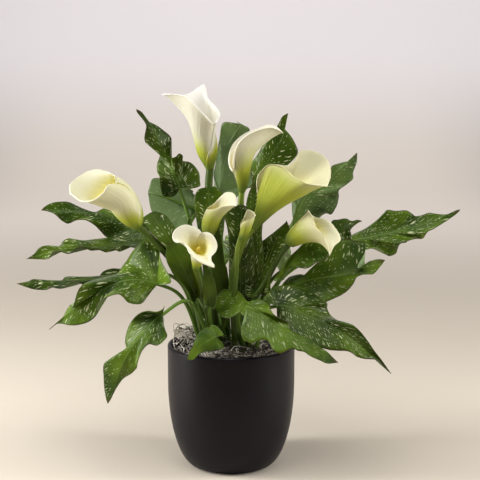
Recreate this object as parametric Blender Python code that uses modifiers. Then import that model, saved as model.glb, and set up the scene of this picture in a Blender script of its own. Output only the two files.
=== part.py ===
"""Potted calla lily: black ceramic pot, grow pot, potting mix, tubers, moss, leaves and flowers.

The origin is the centre of the pot's underside, +Z is up and -Y is the side that the plant is shown from.
Lengths in the tables are millimetres and become metres through MM.
"""
import math

import bmesh
import bpy
from mathutils import Vector

MM = 0.001

# Driving dimensions
GAP = 0.3 * MM

POT_RADIUS = 82.5 * MM
POT_HEIGHT = 160 * MM
POT_FOOT_RADIUS = 50 * MM
POT_BELLY_HEIGHT = 112 * MM
POT_WALL = 5 * MM
POT_FLOOR = 7 * MM
POT_SIDES = 36

LINER_TOP = 144 * MM
LINER_WALL = 1.5 * MM
LINER_RADIUS = 74 * MM
LINER_FOOT_RADIUS = 55 * MM
DRAIN_RADIUS = 5 * MM
DRAIN_CIRCLE = 34 * MM
DRAIN_COUNT = 6

SOIL_TOP = 138 * MM
PIT_RADIUS = 55 * MM
PIT_DEPTH = 22 * MM

TUBER_RADIUS = 21.5 * MM
TUBER_SPREAD = 26.6 * MM
TUBER_CENTRE = Vector((-3, 5.3, 0)) * MM
SHOOT_PITCH = 9 * MM

MOSS_INNER = 57 * MM
MOSS_OUTER = 76 * MM
MOSS_TOP = 163 * MM

LEAF_THICKNESS = 1.1 * MM
PETIOLE_FOOT_RADIUS = 3.0 * MM
PETIOLE_NECK_RADIUS = 1.9 * MM
LEAF_RING = 8
LOBE_LENGTH = 0.9
LOBE_REACH = 0.5
SPAN_STEPS = 3

SPATHE_WALL = 1.2 * MM
SPATHE_SIDES = 14
SPATHE_RINGS = (0.0, 0.1, 0.24, 0.42, 0.62, 0.82, 1.0)
SPADIX_RADIUS = 3.4 * MM

# Each leaf: tuber, shoot number, half width, direction its upper face looks,
# a point on its stalk, then the midrib from the stalk's end to the tip.
LEAVES = {
    "leaf_upper_left": (
        "left", 8, 20, (0.2, -1, 0.2), (-45, 28, 275),
        [(-67, 38, 358), (-86, 44, 401), (-103, 44, 436), (-122, 34, 461)]),
    "leaf_rear_left": (
        "back", 4, 17, (0.2, 0.8, -0.5), (-36, 40, 276),
        [(-44, 54, 322), (-73, 60, 345), (-112, 58, 361)]),
    "leaf_far_left": (
        "back", 10, 17, (0, -0.6, 1), (-70, 50, 258),
        [(-121, 62, 296), (-164, 66, 316), (-206, 62, 323), (-253, 66, 325)]),
    "leaf_left": (
        "left", 3, 17, (0, -0.5, 1), (-64, 22, 255),
        [(-111, 22, 287), (-158, 24, 284), (-207, 20, 282), (-268, 28, 266)]),
    "leaf_left_long": (
        "left", 9, 15, (0, -0.3, 1), (-63, 2, 236),
        [(-104, 0, 254), (-159, 2, 247), (-212, -4, 242), (-277, 2, 238)]),
    "leaf_lower_left": (
        "left", 10, 32, (0, -1, 0.7), (-60, -28, 223),
        [(-92, -34, 245), (-134, -44, 251), (-182, -46, 228), (-230, -44, 188)]),
    "leaf_hanging_left": (
        "left", 11, 25, (-0.3, -1, 0.4), (-51, -46, 224),
        [(-85, -66, 213), (-105, -80, 196), (-129, -92, 164), (-153, -84, 103)]),
    "leaf_front_small": (
        "left", 12, 14, (-0.2, -1, 0.8), (-9, -48, 200),
        [(-6, -68, 198), (-25, -88, 194), (-43, -98, 182), (-57, -100, 161)]),
    "leaf_front_right": (
        "right", 5, 27, (0.2, -1, 0.8), (9, -40, 203),
        [(15, -62, 221), (44, -82, 209), (87, -104, 183), (133, -112, 163)]),
    "leaf_lower_right": (
        "right", 6, 27, (0.2, -1, 0.9), (25, -20, 198),
        [(60, -34, 217), (92, -50, 210), (149, -62, 182), (202, -60, 135)]),
    "leaf_right": (
        "right", 1, 31, (0, -1, 0.5), (35, 0, 204),
        [(68, -9, 231), (98, -17, 246), (147, -18, 254), (197, -14, 272)]),
    "leaf_upper_right": (
        "right", 2, 20, (0, -0.8, 1), (64, 30, 237),
        [(141, 40, 282), (186, 48, 292), (243, 50, 305), (303, 56, 327)]),
    "leaf_right_top": (
        "back", 12, 24, (0.1, -1, 0.3), (46, 46, 259),
        [(78, 58, 302), (99, 66, 344), (131, 66, 368), (166, 62, 402)]),
    "leaf_top_middle": (
        "back", 1, 24, (0, -1, 0.1), (12, 62, 285),
        [(33, 74, 356), (49, 80, 390), (67, 80, 420), (75, 74, 453)]),
    "leaf_top_rear": (
        "back", 0, 19, (0, -1, 0.2), (-12, 50, 274),
        [(-15, 60, 345), (-10, 68, 385), (1, 70, 415), (12, 62, 440)]),
    "leaf_centre_left": (
        "left", 5, 19, (0.5, -1, 0.2), (-34, -24, 214),
        [(-50, -22, 237), (-67, -20, 271), (-80, -16, 301), (-103, -6, 332)]),
    "leaf_curled_right": (
        "right", 7, 12, (0, -0.6, 1), (53, 14, 241),
        [(118, 16, 285), (141, 20, 304), (171, 22, 317)]),
    "leaf_centre_right": (
        "right", 8, 14, (-0.4, -1, 0.2), (27, 4, 200),
        [(43, 6, 232), (53, 12, 273), (72, 18, 318)]),
    "leaf_centre_rear": (
        "back", 5, 16, (0, -1, 0.2), (-25, 30, 237),
        [(-30, 40, 294), (-36, 42, 326), (-22, 44, 363)]),
    "leaf_arched_right": (
        "right", 12, 10, (0, -0.7, 1), (40, -10, 217),
        [(68, -10, 269), (93, -18, 294), (115, -26, 298), (127, -30, 278)]),
    "leaf_centre": (
        "right", 3, 12, (-0.2, -1, 0.2), (14, 8, 207),
        [(22, 10, 239), (27, 16, 277), (38, 22, 311)]),
    "leaf_back_left": (
        "back", 9, 27, (0, 0.8, 1), (-42, 60, 245),
        [(-48, 84, 274), (-60, 116, 282), (-72, 150, 268), (-80, 184, 230)]),
    "leaf_back": (
        "back", 3, 27, (0, 0.8, 1), (-2, 62, 231),
        [(3, 88, 262), (9, 122, 278), (14, 160, 269), (20, 196, 231)]),
    "leaf_back_right": (
        "back", 7, 25, (0, 0.8, 1), (28, 54, 226),
        [(44, 82, 252), (56, 114, 260), (68, 146, 249), (74, 176, 214)]),
    "leaf_back_low_left": (
        "back", 8, 19, (0, 0.9, 1), (-23, 62, 196),
        [(-26, 84, 210), (-35, 108, 211), (-41, 132, 189), (-45, 148, 154)]),
    "leaf_back_low_right": (
        "back", 2, 19, (0, 0.9, 1), (14, 58, 196),
        [(25, 82, 208), (31, 108, 208), (37, 132, 186), (40, 148, 154)]),
}

# Each flower: tuber, shoot number, stem radius, points up the stem to the spathe's base,
# then the spathe's mouth centre, tip, lip, far side and near side, and how fast it widens.
FLOWERS = {
    1: ("left", 2, 4.0, [(-22, 10, 228), (-25, 24, 292), (-27, 27, 357), (-26, 25, 387)],
        (-37, 10, 452), (-86, 5, 480), (-17, 4, 440), (-35, 42, 493), (-38, -18, 462), 1.9),
    2: ("right", 9, 3.8, [(6, 10, 255), (12, 12, 307), (13, 10, 346), (14, 10, 358)],
        (30, 4, 418), (62, -6, 436), (21, -12, 402), (38, 22, 438), (20, -18, 428), 1.5),
    3: ("right", 10, 4.8, [(1, -18, 221), (4, -18, 260), (12, -16, 291), (32, -14, 311), (42, -15, 324)],
        (86, -22, 388), (121, -42, 378), (44, -6, 390), (96, 14, 412), (84, -54, 379), 1.2),
    4: ("left", 4, 4.2, [(-50, -10, 232), (-78, -12, 274), (-104, -18, 304), (-116, -24, 317)],
        (-158, -36, 370), (-198, -50, 362), (-136, -62, 366), (-160, -4, 388), (-170, -66, 356), 1.3),
    5: ("left", 6, 3.4, [(-34, -38, 225), (-40, -42, 252), (-45, -45, 268)],
        (-44, -64, 297), (-20, -84, 279), (-58, -58, 306), (-22, -60, 302), (-69, -64, 306), 1.7),
    6: ("left", 0, 3.2, [(-24, -12, 213), (-32, -16, 253), (-35, -22, 293), (-34, -25, 308)],
        (-12, -34, 348), (6, -42, 348), (-27, -24, 340), (-4, -24, 359), (-10, -48, 338), 2.2),
    7: ("right", 0, 3.4, [(27, -2, 211), (45, -4, 242), (62, -14, 277), (74, -24, 294)],
        (110, -38, 314), (133, -54, 300), (96, -20, 332), (112, -18, 326), (108, -58, 306), 1.3),
    8: ("left", 1, 2.8, [(1, -28, 217), (7, -30, 256), (8, -33, 288), (10, -35, 302)],
        (21, -38, 330), (34, -38, 348), (16, -34, 332), (23, -31, 334), (20, -45, 330), 1.6),
}

# name: (base colour, roughness, metallic)
FINISHES = {
    "ceramic": ((0.012, 0.011, 0.013, 1), 0.32, 0.0),
    "plastic": ((0.02, 0.02, 0.02, 1), 0.5, 0.0),
    "potting_mix": ((0.035, 0.022, 0.014, 1), 0.95, 0.0),
    "tuber_skin": ((0.18, 0.1, 0.05, 1), 0.8, 0.0),
    "moss": ((0.33, 0.32, 0.27, 1), 0.95, 0.0),
    "leaf": ((0.045, 0.11, 0.035, 1), 0.35, 0.0),
    "stem": ((0.16, 0.27, 0.05, 1), 0.4, 0.0),
    "spathe": ((0.8, 0.79, 0.6, 1), 0.45, 0.0),
    "spadix": ((0.75, 0.52, 0.12, 1), 0.7, 0.0),
}


def clear_scene():
    for item in list(bpy.data.objects):
        bpy.data.objects.remove(item, do_unlink=True)


def make_collection(name):
    collection = bpy.data.collections.new(name)
    bpy.context.scene.collection.children.link(collection)
    return collection


def material_for(object_name, finish):
    colour, roughness, metallic = FINISHES[finish]
    material = bpy.data.materials.new(object_name + "_" + finish)
    material.use_nodes = True
    shader = material.node_tree.nodes["Principled BSDF"]
    shader.inputs["Base Color"].default_value = colour
    shader.inputs["Roughness"].default_value = roughness
    shader.inputs["Metallic"].default_value = metallic
    return material


def add_object(name, data, collection, finish=None):
    item = bpy.data.objects.new(name, data)
    collection.objects.link(item)
    if finish:
        data.materials.append(material_for(name, finish))
    return item


def mesh_from(name, points, faces):
    mesh = bpy.data.meshes.new(name)
    mesh.from_pydata([tuple(point) for point in points], [], faces)
    mesh.shade_smooth()
    mesh.set_sharp_from_angle(angle=math.radians(40))
    return mesh


def to_metres(points):
    return [Vector(point) * MM for point in points]


def smooth_path(points, steps):
    """A Catmull-Rom curve through the points, with this many steps in each span."""
    ends = [2 * points[0] - points[1]] + list(points) + [2 * points[-1] - points[-2]]
    path = []
    for span in range(len(points) - 1):
        a, b, c, d = ends[span:span + 4]
        for step in range(steps):
            t = step / steps
            path.append(0.5 * (2 * b + (c - a) * t + (2 * a - 5 * b + 4 * c - d) * t * t
                               + (3 * b - a - 3 * c + d) * t ** 3))
    return path + [points[-1].copy()]


def loft(rings):
    """Faces of a closed loft through rings of equal size, with both ends capped."""
    count = len(rings[0])
    points = [point for ring in rings for point in ring]
    faces = [list(range(count))]
    for row in range(len(rings) - 1):
        for column in range(count):
            beside = (column + 1) % count
            low = row * count
            faces.append((low + column, low + count + column, low + count + beside, low + beside))
    faces.append(list(reversed(range(len(points) - count, len(points)))))
    return points, faces


def turned(name, profile, finish, sides, collection, ring=False):
    """A body of revolution; the profile lists (radius, height) from the axis, over the rim and down.

    A ring's profile is a loop that doesn't touch the axis.
    """
    mesh = bpy.data.meshes.new(name)
    edges = [(index, index + 1) for index in range(len(profile) - 1)]
    if ring:
        edges.append((len(profile) - 1, 0))
    mesh.from_pydata([(radius, 0, height) for radius, height in profile], edges, [])
    item = add_object(name, mesh, collection, finish)
    screw = item.modifiers.new("Turn", "SCREW")
    screw.steps = sides
    screw.render_steps = sides
    screw.use_merge_vertices = True
    screw.merge_threshold = 0.01 * MM
    screw.use_smooth_shade = True
    return item


def tube(name, path, radii, finish, collection, sides_level=1):
    """A round rod along the path with a radius at each point."""
    curve = bpy.data.curves.new(name, "CURVE")
    curve.dimensions = "3D"
    curve.bevel_depth = 1.0
    curve.bevel_resolution = sides_level
    curve.use_fill_caps = True
    spline = curve.splines.new("POLY")
    spline.points.add(len(path) - 1)
    for point, place, radius in zip(spline.points, path, radii):
        point.co = (*place, 1)
        point.radius = radius
    return add_object(name, curve, collection, finish)


def pot_radius(height, inset=0.0):
    """The pot's outer radius: a quarter superellipse up to the belly, then nearly upright."""
    if height >= POT_BELLY_HEIGHT:
        return POT_RADIUS - inset
    fall = (POT_BELLY_HEIGHT - height) / POT_BELLY_HEIGHT
    return POT_FOOT_RADIUS + (POT_RADIUS - POT_FOOT_RADIUS) * (1 - fall ** 2.1) ** 0.55 - inset


def build_pot(collection):
    lip = POT_WALL / 2
    heights = [(POT_HEIGHT - lip) * (step / 9) ** 1.5 for step in range(10)]
    outer = [(pot_radius(height), height) for height in reversed(heights)]
    rim = [(POT_RADIUS - lip + lip * math.cos(angle), POT_HEIGHT - lip + lip * math.sin(angle))
           for angle in (math.radians(degrees) for degrees in (150, 110, 70, 30))]
    inner = [(pot_radius(height, POT_WALL), height) for height in heights if height > POT_FLOOR]
    profile = [(0, POT_FLOOR), (inner[0][0] - 3 * MM, POT_FLOOR)] + inner + rim + outer + [(0, 0)]
    turned("pot", profile, "ceramic", POT_SIDES, collection)


def build_grow_pot(collection, cutters):
    floor = POT_FLOOR + GAP
    outer = [(LINER_RADIUS, LINER_TOP), (LINER_FOOT_RADIUS, floor)]
    inner = [(LINER_FOOT_RADIUS - LINER_WALL, floor + LINER_WALL), (LINER_RADIUS - LINER_WALL, LINER_TOP)]
    profile = [(0, floor + LINER_WALL)] + inner + outer + [(0, floor)]
    liner = turned("grow_pot", profile, "plastic", POT_SIDES, collection)
    drill = bmesh.new()
    for hole in range(DRAIN_COUNT):
        angle = 2 * math.pi * hole / DRAIN_COUNT
        cylinder = bmesh.ops.create_cone(
            drill, cap_ends=True, segments=12, radius1=DRAIN_RADIUS, radius2=DRAIN_RADIUS, depth=12 * MM)
        place = Vector((DRAIN_CIRCLE * math.cos(angle), DRAIN_CIRCLE * math.sin(angle), floor))
        bmesh.ops.translate(drill, verts=cylinder["verts"], vec=place)
    mesh = bpy.data.meshes.new("drain_drill")
    drill.to_mesh(mesh)
    drill.free()
    cutter = add_object("drain_drill", mesh, cutters)
    cutter.hide_render = True
    cutter.display_type = "WIRE"
    cut = liner.modifiers.new("Drain holes", "BOOLEAN")
    cut.object = cutter
    cut.operation = "DIFFERENCE"


def build_soil(collection):
    floor = POT_FLOOR + LINER_WALL + 2 * GAP
    slope = (LINER_RADIUS - LINER_FOOT_RADIUS) / (LINER_TOP - POT_FLOOR - GAP)
    foot_radius = LINER_FOOT_RADIUS - LINER_WALL - 1.5 * GAP
    top_radius = foot_radius + slope * (SOIL_TOP - floor)
    profile = [(0, SOIL_TOP - PIT_DEPTH), (PIT_RADIUS, SOIL_TOP - PIT_DEPTH), (PIT_RADIUS, SOIL_TOP),
               (top_radius, SOIL_TOP), (foot_radius, floor), (0, floor)]
    turned("potting_mix", profile, "potting_mix", POT_SIDES, collection)


def tuber_centre(tuber):
    angle = math.radians({"left": 210, "right": 330, "back": 90}[tuber])
    return TUBER_CENTRE + TUBER_SPREAD * Vector((math.cos(angle), math.sin(angle), 0))


def build_tubers(collection):
    """Three flattened storage tubers side by side in the pit, flat on top where the shoots stand."""
    depth = PIT_DEPTH - 2 * GAP
    outline = [(0, 1), (0.96, 1), (1, 0.86), (0.93, 0.42), (0.62, 0), (0, 0)]
    profile = [(TUBER_RADIUS * reach, depth * level) for reach, level in outline]
    for tuber in ("left", "right", "back"):
        body = turned("tuber_" + tuber, profile, "tuber_skin", 20, collection)
        body.location = tuber_centre(tuber) + Vector((0, 0, SOIL_TOP - PIT_DEPTH + GAP))


def build_moss(collection):
    """A soft ring of Spanish moss between the shoots and the pot's wall."""
    middle = (MOSS_INNER + MOSS_OUTER) / 2
    half = (MOSS_OUTER - MOSS_INNER) / 2
    floor = LINER_TOP + GAP
    rise = MOSS_TOP - floor
    arch = [(middle - half * math.cos(angle), floor + rise * math.sin(angle) ** 0.7)
            for angle in (math.pi * step / 6 for step in range(1, 6))]
    profile = [(MOSS_INNER, floor)] + arch + [(MOSS_OUTER, floor)]
    turned("moss", profile, "moss", POT_SIDES, collection, ring=True)


def shoot_foot(tuber, shoot):
    """Where a shoot stands on its tuber: one in the middle, six around it and six in the corners."""
    offset = Vector((0, 0, 0))
    if shoot > 6:
        angle = math.radians(60 * (shoot - 7) + 30)
        offset = Vector((math.cos(angle), math.sin(angle), 0)) * SHOOT_PITCH * math.sqrt(3)
    elif shoot > 0:
        angle = math.radians(60 * (shoot - 1))
        offset = Vector((math.cos(angle), math.sin(angle), 0)) * SHOOT_PITCH
    return tuber_centre(tuber) + offset + Vector((0, 0, SOIL_TOP - GAP))


def shoot_path(foot, points):
    """The smooth line of a shoot, which leaves its tuber upright."""
    upright = [foot + Vector((0, 0, 2 * MM)), foot + Vector((0, 0, 25 * MM))]
    return [foot] + smooth_path(upright + to_metres(points), SPAN_STEPS)


def blade_width(reach):
    """The blade's half width, 0 to 1: broad at its lobes, then running out to a long tip."""
    return min(1.0, 0.55 + reach / 0.25) * (1 - reach) ** 0.75


def build_leaf(name, tuber, shoot, half_width, face, bend, midrib, phase, collection):
    """One leaf, stalk and blade together: a closed loft from a round stalk to a thin wavy blade.

    The first rings of the blade sweep back at both edges, as the two lobes of an arrow-shaped leaf.
    """
    foot = shoot_foot(tuber, shoot)
    path = shoot_path(foot, [bend] + midrib)
    neck = len(path) - 1 - SPAN_STEPS * (len(midrib) - 1)
    travelled = [0.0]
    for before, after in zip(path, path[1:]):
        travelled.append(travelled[-1] + (after - before).length)
    outward = path[-1] - foot
    outward.z = 0
    outward.normalize()
    rings = []
    for index, centre in enumerate(path):
        ahead = path[min(index + 1, len(path) - 1)] - path[max(index - 1, 0)]
        along = travelled[index] / travelled[neck]
        reach = (travelled[index] - travelled[neck]) / (travelled[-1] - travelled[neck])
        turn = min(1.0, max(0.0, along))
        facing = -outward * (1 - turn) + Vector(face).normalized() * turn
        side = ahead.cross(facing).normalized()
        normal = side.cross(ahead).normalized()
        radius = PETIOLE_FOOT_RADIUS + (PETIOLE_NECK_RADIUS - PETIOLE_FOOT_RADIUS) * turn
        width, depth, wave, lobe = radius, radius, 0.0, 0.0
        if reach > 0:
            width = max(0.8 * MM, half_width * MM * blade_width(reach))
            depth = LEAF_THICKNESS / 2 + (PETIOLE_NECK_RADIUS - LEAF_THICKNESS / 2) * (1 - reach) ** 4 * 0.5
            wave = 0.16 * width
            lobe = LOBE_LENGTH * half_width * MM * max(0.0, 1 - reach / LOBE_REACH)
        ring = []
        for corner in range(LEAF_RING):
            angle = 2 * math.pi * corner / LEAF_RING
            across = math.cos(angle)
            ripple = wave * across * math.sin(5 * math.pi * reach + phase)
            fold = wave * abs(across)
            lift = depth * math.sin(angle) + ripple + fold
            back = lobe * across * across
            ring.append(centre + side * width * across + normal * lift - ahead.normalized() * back)
        rings.append(ring)
    points, faces = loft(rings)
    add_object(name, mesh_from(name, points, faces), collection, "leaf")


def spathe_rim(mouth, tip, lip, far, near, angle):
    """A point of the spathe's margin, measured from the mouth's centre; angle 0 is the pointed tip."""
    forward = math.cos(angle)
    across = math.sin(angle)
    if forward > 0:
        reach = (forward + 0.35 * forward ** 8) / 1.35 * (tip - mouth)
    else:
        reach = -forward * (lip - mouth)
    side = across * (far - mouth) if across > 0 else -across * (near - mouth)
    return reach + side


def throat_line(base, direction, mouth, level):
    """The spathe's centre line: it leaves the stem straight and bends over to the mouth."""
    reach = (mouth - base).length
    control = base + direction * reach * 0.5
    return (1 - level) ** 2 * base + 2 * level * (1 - level) * control + level ** 2 * mouth


def build_flower(number, tuber, shoot, stem_radius, stem, shape, widening, collection):
    """A stem, the spathe seated on it and the spadix that stands in the spathe."""
    path = shoot_path(shoot_foot(tuber, shoot), stem)
    stem_radius = stem_radius * MM
    radii = [stem_radius * (0.85 + 0.15 * min(1, index / 6)) for index in range(len(path))]
    tube("stem_%d" % number, path, radii, "stem", collection)

    direction = (path[-1] - path[-2]).normalized()
    base = path[-1] + direction * GAP
    mouth, tip, lip, far, near = to_metres(shape)
    toward_tip = (tip - mouth) - (tip - mouth).dot(direction) * direction
    toward_tip.normalize()
    toward_far = toward_tip.cross(direction)
    if toward_far.dot(far - near) < 0:
        toward_far.negate()

    points = [base]
    for level in SPATHE_RINGS:
        centre = throat_line(base, direction, mouth, level)
        opened = level ** widening
        waist = stem_radius * (1.1 + 2.2 * level)
        for step in range(SPATHE_SIDES):
            angle = 2 * math.pi * step / SPATHE_SIDES
            collar = waist * (math.cos(angle) * toward_tip + math.sin(angle) * toward_far)
            rim = spathe_rim(mouth, tip, lip, far, near, angle)
            points.append(centre + opened * rim + (1 - opened) * collar)
    faces = []
    for step in range(SPATHE_SIDES):
        beside = (step + 1) % SPATHE_SIDES
        faces.append((0, 1 + beside, 1 + step))
        for row in range(len(SPATHE_RINGS) - 1):
            low = 1 + row * SPATHE_SIDES
            high = low + SPATHE_SIDES
            faces.append((low + step, low + beside, high + beside, high + step))
    if toward_tip.cross(toward_far).dot(direction) < 0:
        faces = [tuple(reversed(face)) for face in faces]
    spathe = add_object("spathe_%d" % number, mesh_from("spathe_%d" % number, points, faces),
                        collection, "spathe")
    wall = spathe.modifiers.new("Wall", "SOLIDIFY")
    wall.thickness = SPATHE_WALL
    wall.offset = -1

    foot_of_spadix = base + direction * (SPATHE_WALL + GAP)
    levels = [step / 6 * 0.62 for step in range(7)]
    finger = [throat_line(foot_of_spadix, direction, mouth, level) for level in levels]
    thickness = [0.5, 0.62, 0.85, 0.95, 0.9, 0.7, 0.3]
    size = min(SPADIX_RADIUS, stem_radius * 0.85)
    tube("spadix_%d" % number, finger, [size * share for share in thickness], "spadix", collection)


def build():
    clear_scene()
    collection = make_collection("potted_calla_lily")
    cutters = make_collection("cutters")
    build_pot(collection)
    build_grow_pot(collection, cutters)
    build_soil(collection)
    build_tubers(collection)
    build_moss(collection)
    for order, (name, leaf) in enumerate(LEAVES.items()):
        build_leaf(name, *leaf, 1.7 * order, collection)
    for number, flower in FLOWERS.items():
        tuber, shoot, stem_radius, stem, *shape, widening = flower
        build_flower(number, tuber, shoot, stem_radius, stem, shape, widening, collection)


build()
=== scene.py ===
# %% [markdown]
# # A potted calla lily
# The plant stands in a satin black pot: a crowd of arrow-shaped leaves with wavy edges and pale flecks, and
# eight flowers, each a single rolled leaf (the spathe) round a yellow finger of florets (the spadix).
# The packed model gives the fixed frame. Everything here is in metres, and the tables are in millimetres.

# %% The fixed frame
import math
from collections import namedtuple

import bmesh
import bpy
import numpy as np
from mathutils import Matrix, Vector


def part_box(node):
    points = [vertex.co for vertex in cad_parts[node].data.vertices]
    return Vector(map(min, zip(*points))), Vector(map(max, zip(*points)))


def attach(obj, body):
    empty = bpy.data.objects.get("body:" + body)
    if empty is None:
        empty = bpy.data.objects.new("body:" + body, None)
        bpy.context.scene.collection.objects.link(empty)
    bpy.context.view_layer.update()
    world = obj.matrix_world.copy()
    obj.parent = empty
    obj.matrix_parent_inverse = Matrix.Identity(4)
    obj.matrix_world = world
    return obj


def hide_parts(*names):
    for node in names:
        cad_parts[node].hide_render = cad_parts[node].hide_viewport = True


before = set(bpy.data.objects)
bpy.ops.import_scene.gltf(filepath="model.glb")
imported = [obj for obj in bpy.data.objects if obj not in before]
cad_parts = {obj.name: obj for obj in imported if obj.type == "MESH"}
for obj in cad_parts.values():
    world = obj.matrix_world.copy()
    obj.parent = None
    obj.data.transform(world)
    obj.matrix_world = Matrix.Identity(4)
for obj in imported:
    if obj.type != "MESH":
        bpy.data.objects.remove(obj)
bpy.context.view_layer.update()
MM = 0.001

# %% [markdown]
# ## Writing node trees as formulas
# A node editor hides its maths in boxes and wires. Here a small class wraps each output socket, so that a sum
# of two wires adds a Math node and the formula can be read. One method adds any other kind of node: its
# settings first, then the values or wires of its sockets. Shaders and Geometry Nodes share it.

# %% Nodes as formulas
class Wire:
    """One output socket of a node tree; sums on it add Math nodes."""

    def __init__(self, net, socket):
        self.net = net
        self.socket = socket

    def maths(self, operation, first, second):
        return self.net.maths(operation, first, second)

    def also(self, name):
        """Another output of the same node."""
        return Wire(self.net, self.net.find(self.socket.node.outputs, name))

    def __add__(self, other):
        return self.maths("ADD", self, other)

    def __sub__(self, other):
        return self.maths("SUBTRACT", self, other)

    def __rsub__(self, other):
        return self.maths("SUBTRACT", other, self)

    def __mul__(self, other):
        return self.maths("MULTIPLY", self, other)

    def __truediv__(self, other):
        return self.maths("DIVIDE", self, other)

    def __pow__(self, other):
        return self.maths("POWER", self, other)

    __radd__ = __add__
    __rmul__ = __mul__


class Net:
    """Adds nodes to one tree and wires them together."""

    def __init__(self, tree):
        self.tree = tree

    def find(self, sockets, key):
        if isinstance(key, int):
            return sockets[key]
        return next(s for s in sockets if key in (s.identifier, s.name))

    def node(self, kind, settings=None, values=None, out=0):
        made = self.tree.nodes.new(kind)
        for name, value in (settings or {}).items():
            setattr(made, name, value)
        for key, value in (values or {}).items():
            self.plug(self.find(made.inputs, key), value)
        return Wire(self, self.find(made.outputs, out))

    def plug(self, socket, value):
        if isinstance(value, Wire):
            self.tree.links.new(value.socket, socket)
        else:
            socket.default_value = value

    def ease(self, value, low, high):
        """0 below low, 1 above high, and a soft step between; low may be above high."""
        return self.node("ShaderNodeMapRange", {"interpolation_type": "SMOOTHSTEP"},
                         {"Value": value, "From Min": low, "From Max": high})

    def mix(self, factor, first, second):
        return self.node("ShaderNodeMix", {"data_type": "RGBA"},
                         {"Factor_Float": factor, "A_Color": first, "B_Color": second}, "Result_Color")

    def maths(self, operation, first, second=0.0):
        return self.node("ShaderNodeMath", {"operation": operation}, {0: first, 1: second})

    def vector(self, operation, first, second=None, **values):
        sockets = {0: first, **values} if second is None else {0: first, 1: second, **values}
        return self.node("ShaderNodeVectorMath", {"operation": operation}, sockets)

    def clamp(self, value):
        return self.node("ShaderNodeClamp", {}, {"Value": value})

    def attribute(self, name):
        return self.node("ShaderNodeAttribute", {"attribute_name": name}, out="Fac")

    def here(self):
        """The place on the piece, in metres."""
        return self.node("ShaderNodeTexCoord", out="Object")

    def split(self, vector):
        """The X, Y and Z of a vector as three wires."""
        x = self.node("ShaderNodeSeparateXYZ", {}, {"Vector": vector})
        return x, x.also("Y"), x.also("Z")

    def join(self, **parts):
        """A vector from its X, Y and Z."""
        return self.node("ShaderNodeCombineXYZ", {}, parts)

    def noise(self, scale, detail=2.0, vector=None, out="Fac"):
        return self.node("ShaderNodeTexNoise", {},
                         {"Vector": vector or self.here(), "Scale": scale, "Detail": detail}, out)

    def stored(self, name):
        """A number stored on the points, for a Geometry Nodes tree."""
        return self.node("GeometryNodeInputNamedAttribute", {"data_type": "FLOAT"}, {"Name": name})

    def tube(self, line, sides, girth):
        """A capped skin round a line, with this many sides and this radius along it."""
        ring = self.node("GeometryNodeCurvePrimitiveCircle", {}, {"Resolution": sides, "Radius": 1})
        return self.node("GeometryNodeCurveToMesh", {},
                         {"Curve": line, "Profile Curve": ring, "Scale": girth, "Fill Caps": True})


def finish_material(name, paint, roughness=0.5, **constants):
    """A Principled material: paint(net) returns what varies, and constants stay on the shader's sockets."""
    material = bpy.data.materials.new(name)
    material.use_nodes = True
    shader = material.node_tree.nodes["Principled BSDF"]
    net = Net(material.node_tree)
    shader.inputs["Roughness"].default_value = roughness
    for socket, value in constants.items():
        shader.inputs[socket.replace("_", " ")].default_value = value
    for socket, value in paint(net).items():
        if socket == "Bump":
            height, distance = value
            socket = "Normal"
            value = net.node("ShaderNodeBump", {}, {"Height": height, "Distance": distance})
        net.plug(shader.inputs[socket], value)
    return material


print("a net can:", ", ".join(name for name in vars(Net) if not name.startswith("_")))

# %% [markdown]
# ## Stage, camera and light
# The pot stands on a plain sheet, warm grey as a floor and paler as a wall, that sweeps up behind it as in a
# studio. One bent strip has no corner to throw a line across the view. The sheet is darker beside the two
# window lamps, where it would burn out, and glows faintly far from the plant, where no lamp reaches.

# %% The studio sheet
SHEET_HALF_WIDTH = 5
SHEET_FRONT = -4.0
SHEET_TOP = 5.0
BEND_START = 2.6
BEND_RADIUS = 0.9


def new_object(name, data):
    item = bpy.data.objects.new(name, data)
    bpy.context.scene.collection.objects.link(item)
    return item


def paint_sheet(net):
    place = net.here()
    x, _, height = net.split(place)
    beside = net.ease(net.maths("ABSOLUTE", x), 0.6, 1.2)
    floor = net.mix(net.noise(1.2), (0.60, 0.53, 0.43, 1), (0.64, 0.57, 0.475, 1))
    floor = net.mix(0.8 * beside, floor, (0.22, 0.195, 0.165, 1))
    wall = net.mix(net.noise(1.2), (0.78, 0.75, 0.77, 1), (0.82, 0.79, 0.82, 1))
    distance = net.node("ShaderNodeVectorMath", {"operation": "LENGTH"}, {0: place}, "Value")
    return {
        "Base Color": net.mix(net.ease(height, 0.0, 0.5), floor, wall),
        "Emission Color": net.mix(net.ease(distance, 0.8, 2.4), (0, 0, 0, 1), (0.27, 0.25, 0.245, 1)),
    }


def build_stage():
    """A floor that curves up into a back wall."""
    line = [(SHEET_FRONT, 0.0)]
    for angle in range(0, 91, 10):
        turn = math.radians(angle)
        line.append((BEND_START + BEND_RADIUS * math.sin(turn), BEND_RADIUS - BEND_RADIUS * math.cos(turn)))
    line.append((BEND_START + BEND_RADIUS, SHEET_TOP))
    points = [(x, y, z) for y, z in line for x in (-SHEET_HALF_WIDTH, SHEET_HALF_WIDTH)]
    faces = [(2 * i, 2 * i + 1, 2 * i + 3, 2 * i + 2) for i in range(len(line) - 1)]
    mesh = bpy.data.meshes.new("studio_sheet")
    mesh.from_pydata(points, [], faces)
    mesh.shade_smooth()
    mesh.materials.append(finish_material("studio_sheet", paint_sheet, roughness=0.8, Emission_Strength=1.0))
    sheet = new_object("studio_sheet", mesh)


build_stage()
print("sheet: floor from", SHEET_FRONT, "m, bent up from", BEND_START, "m")

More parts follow.
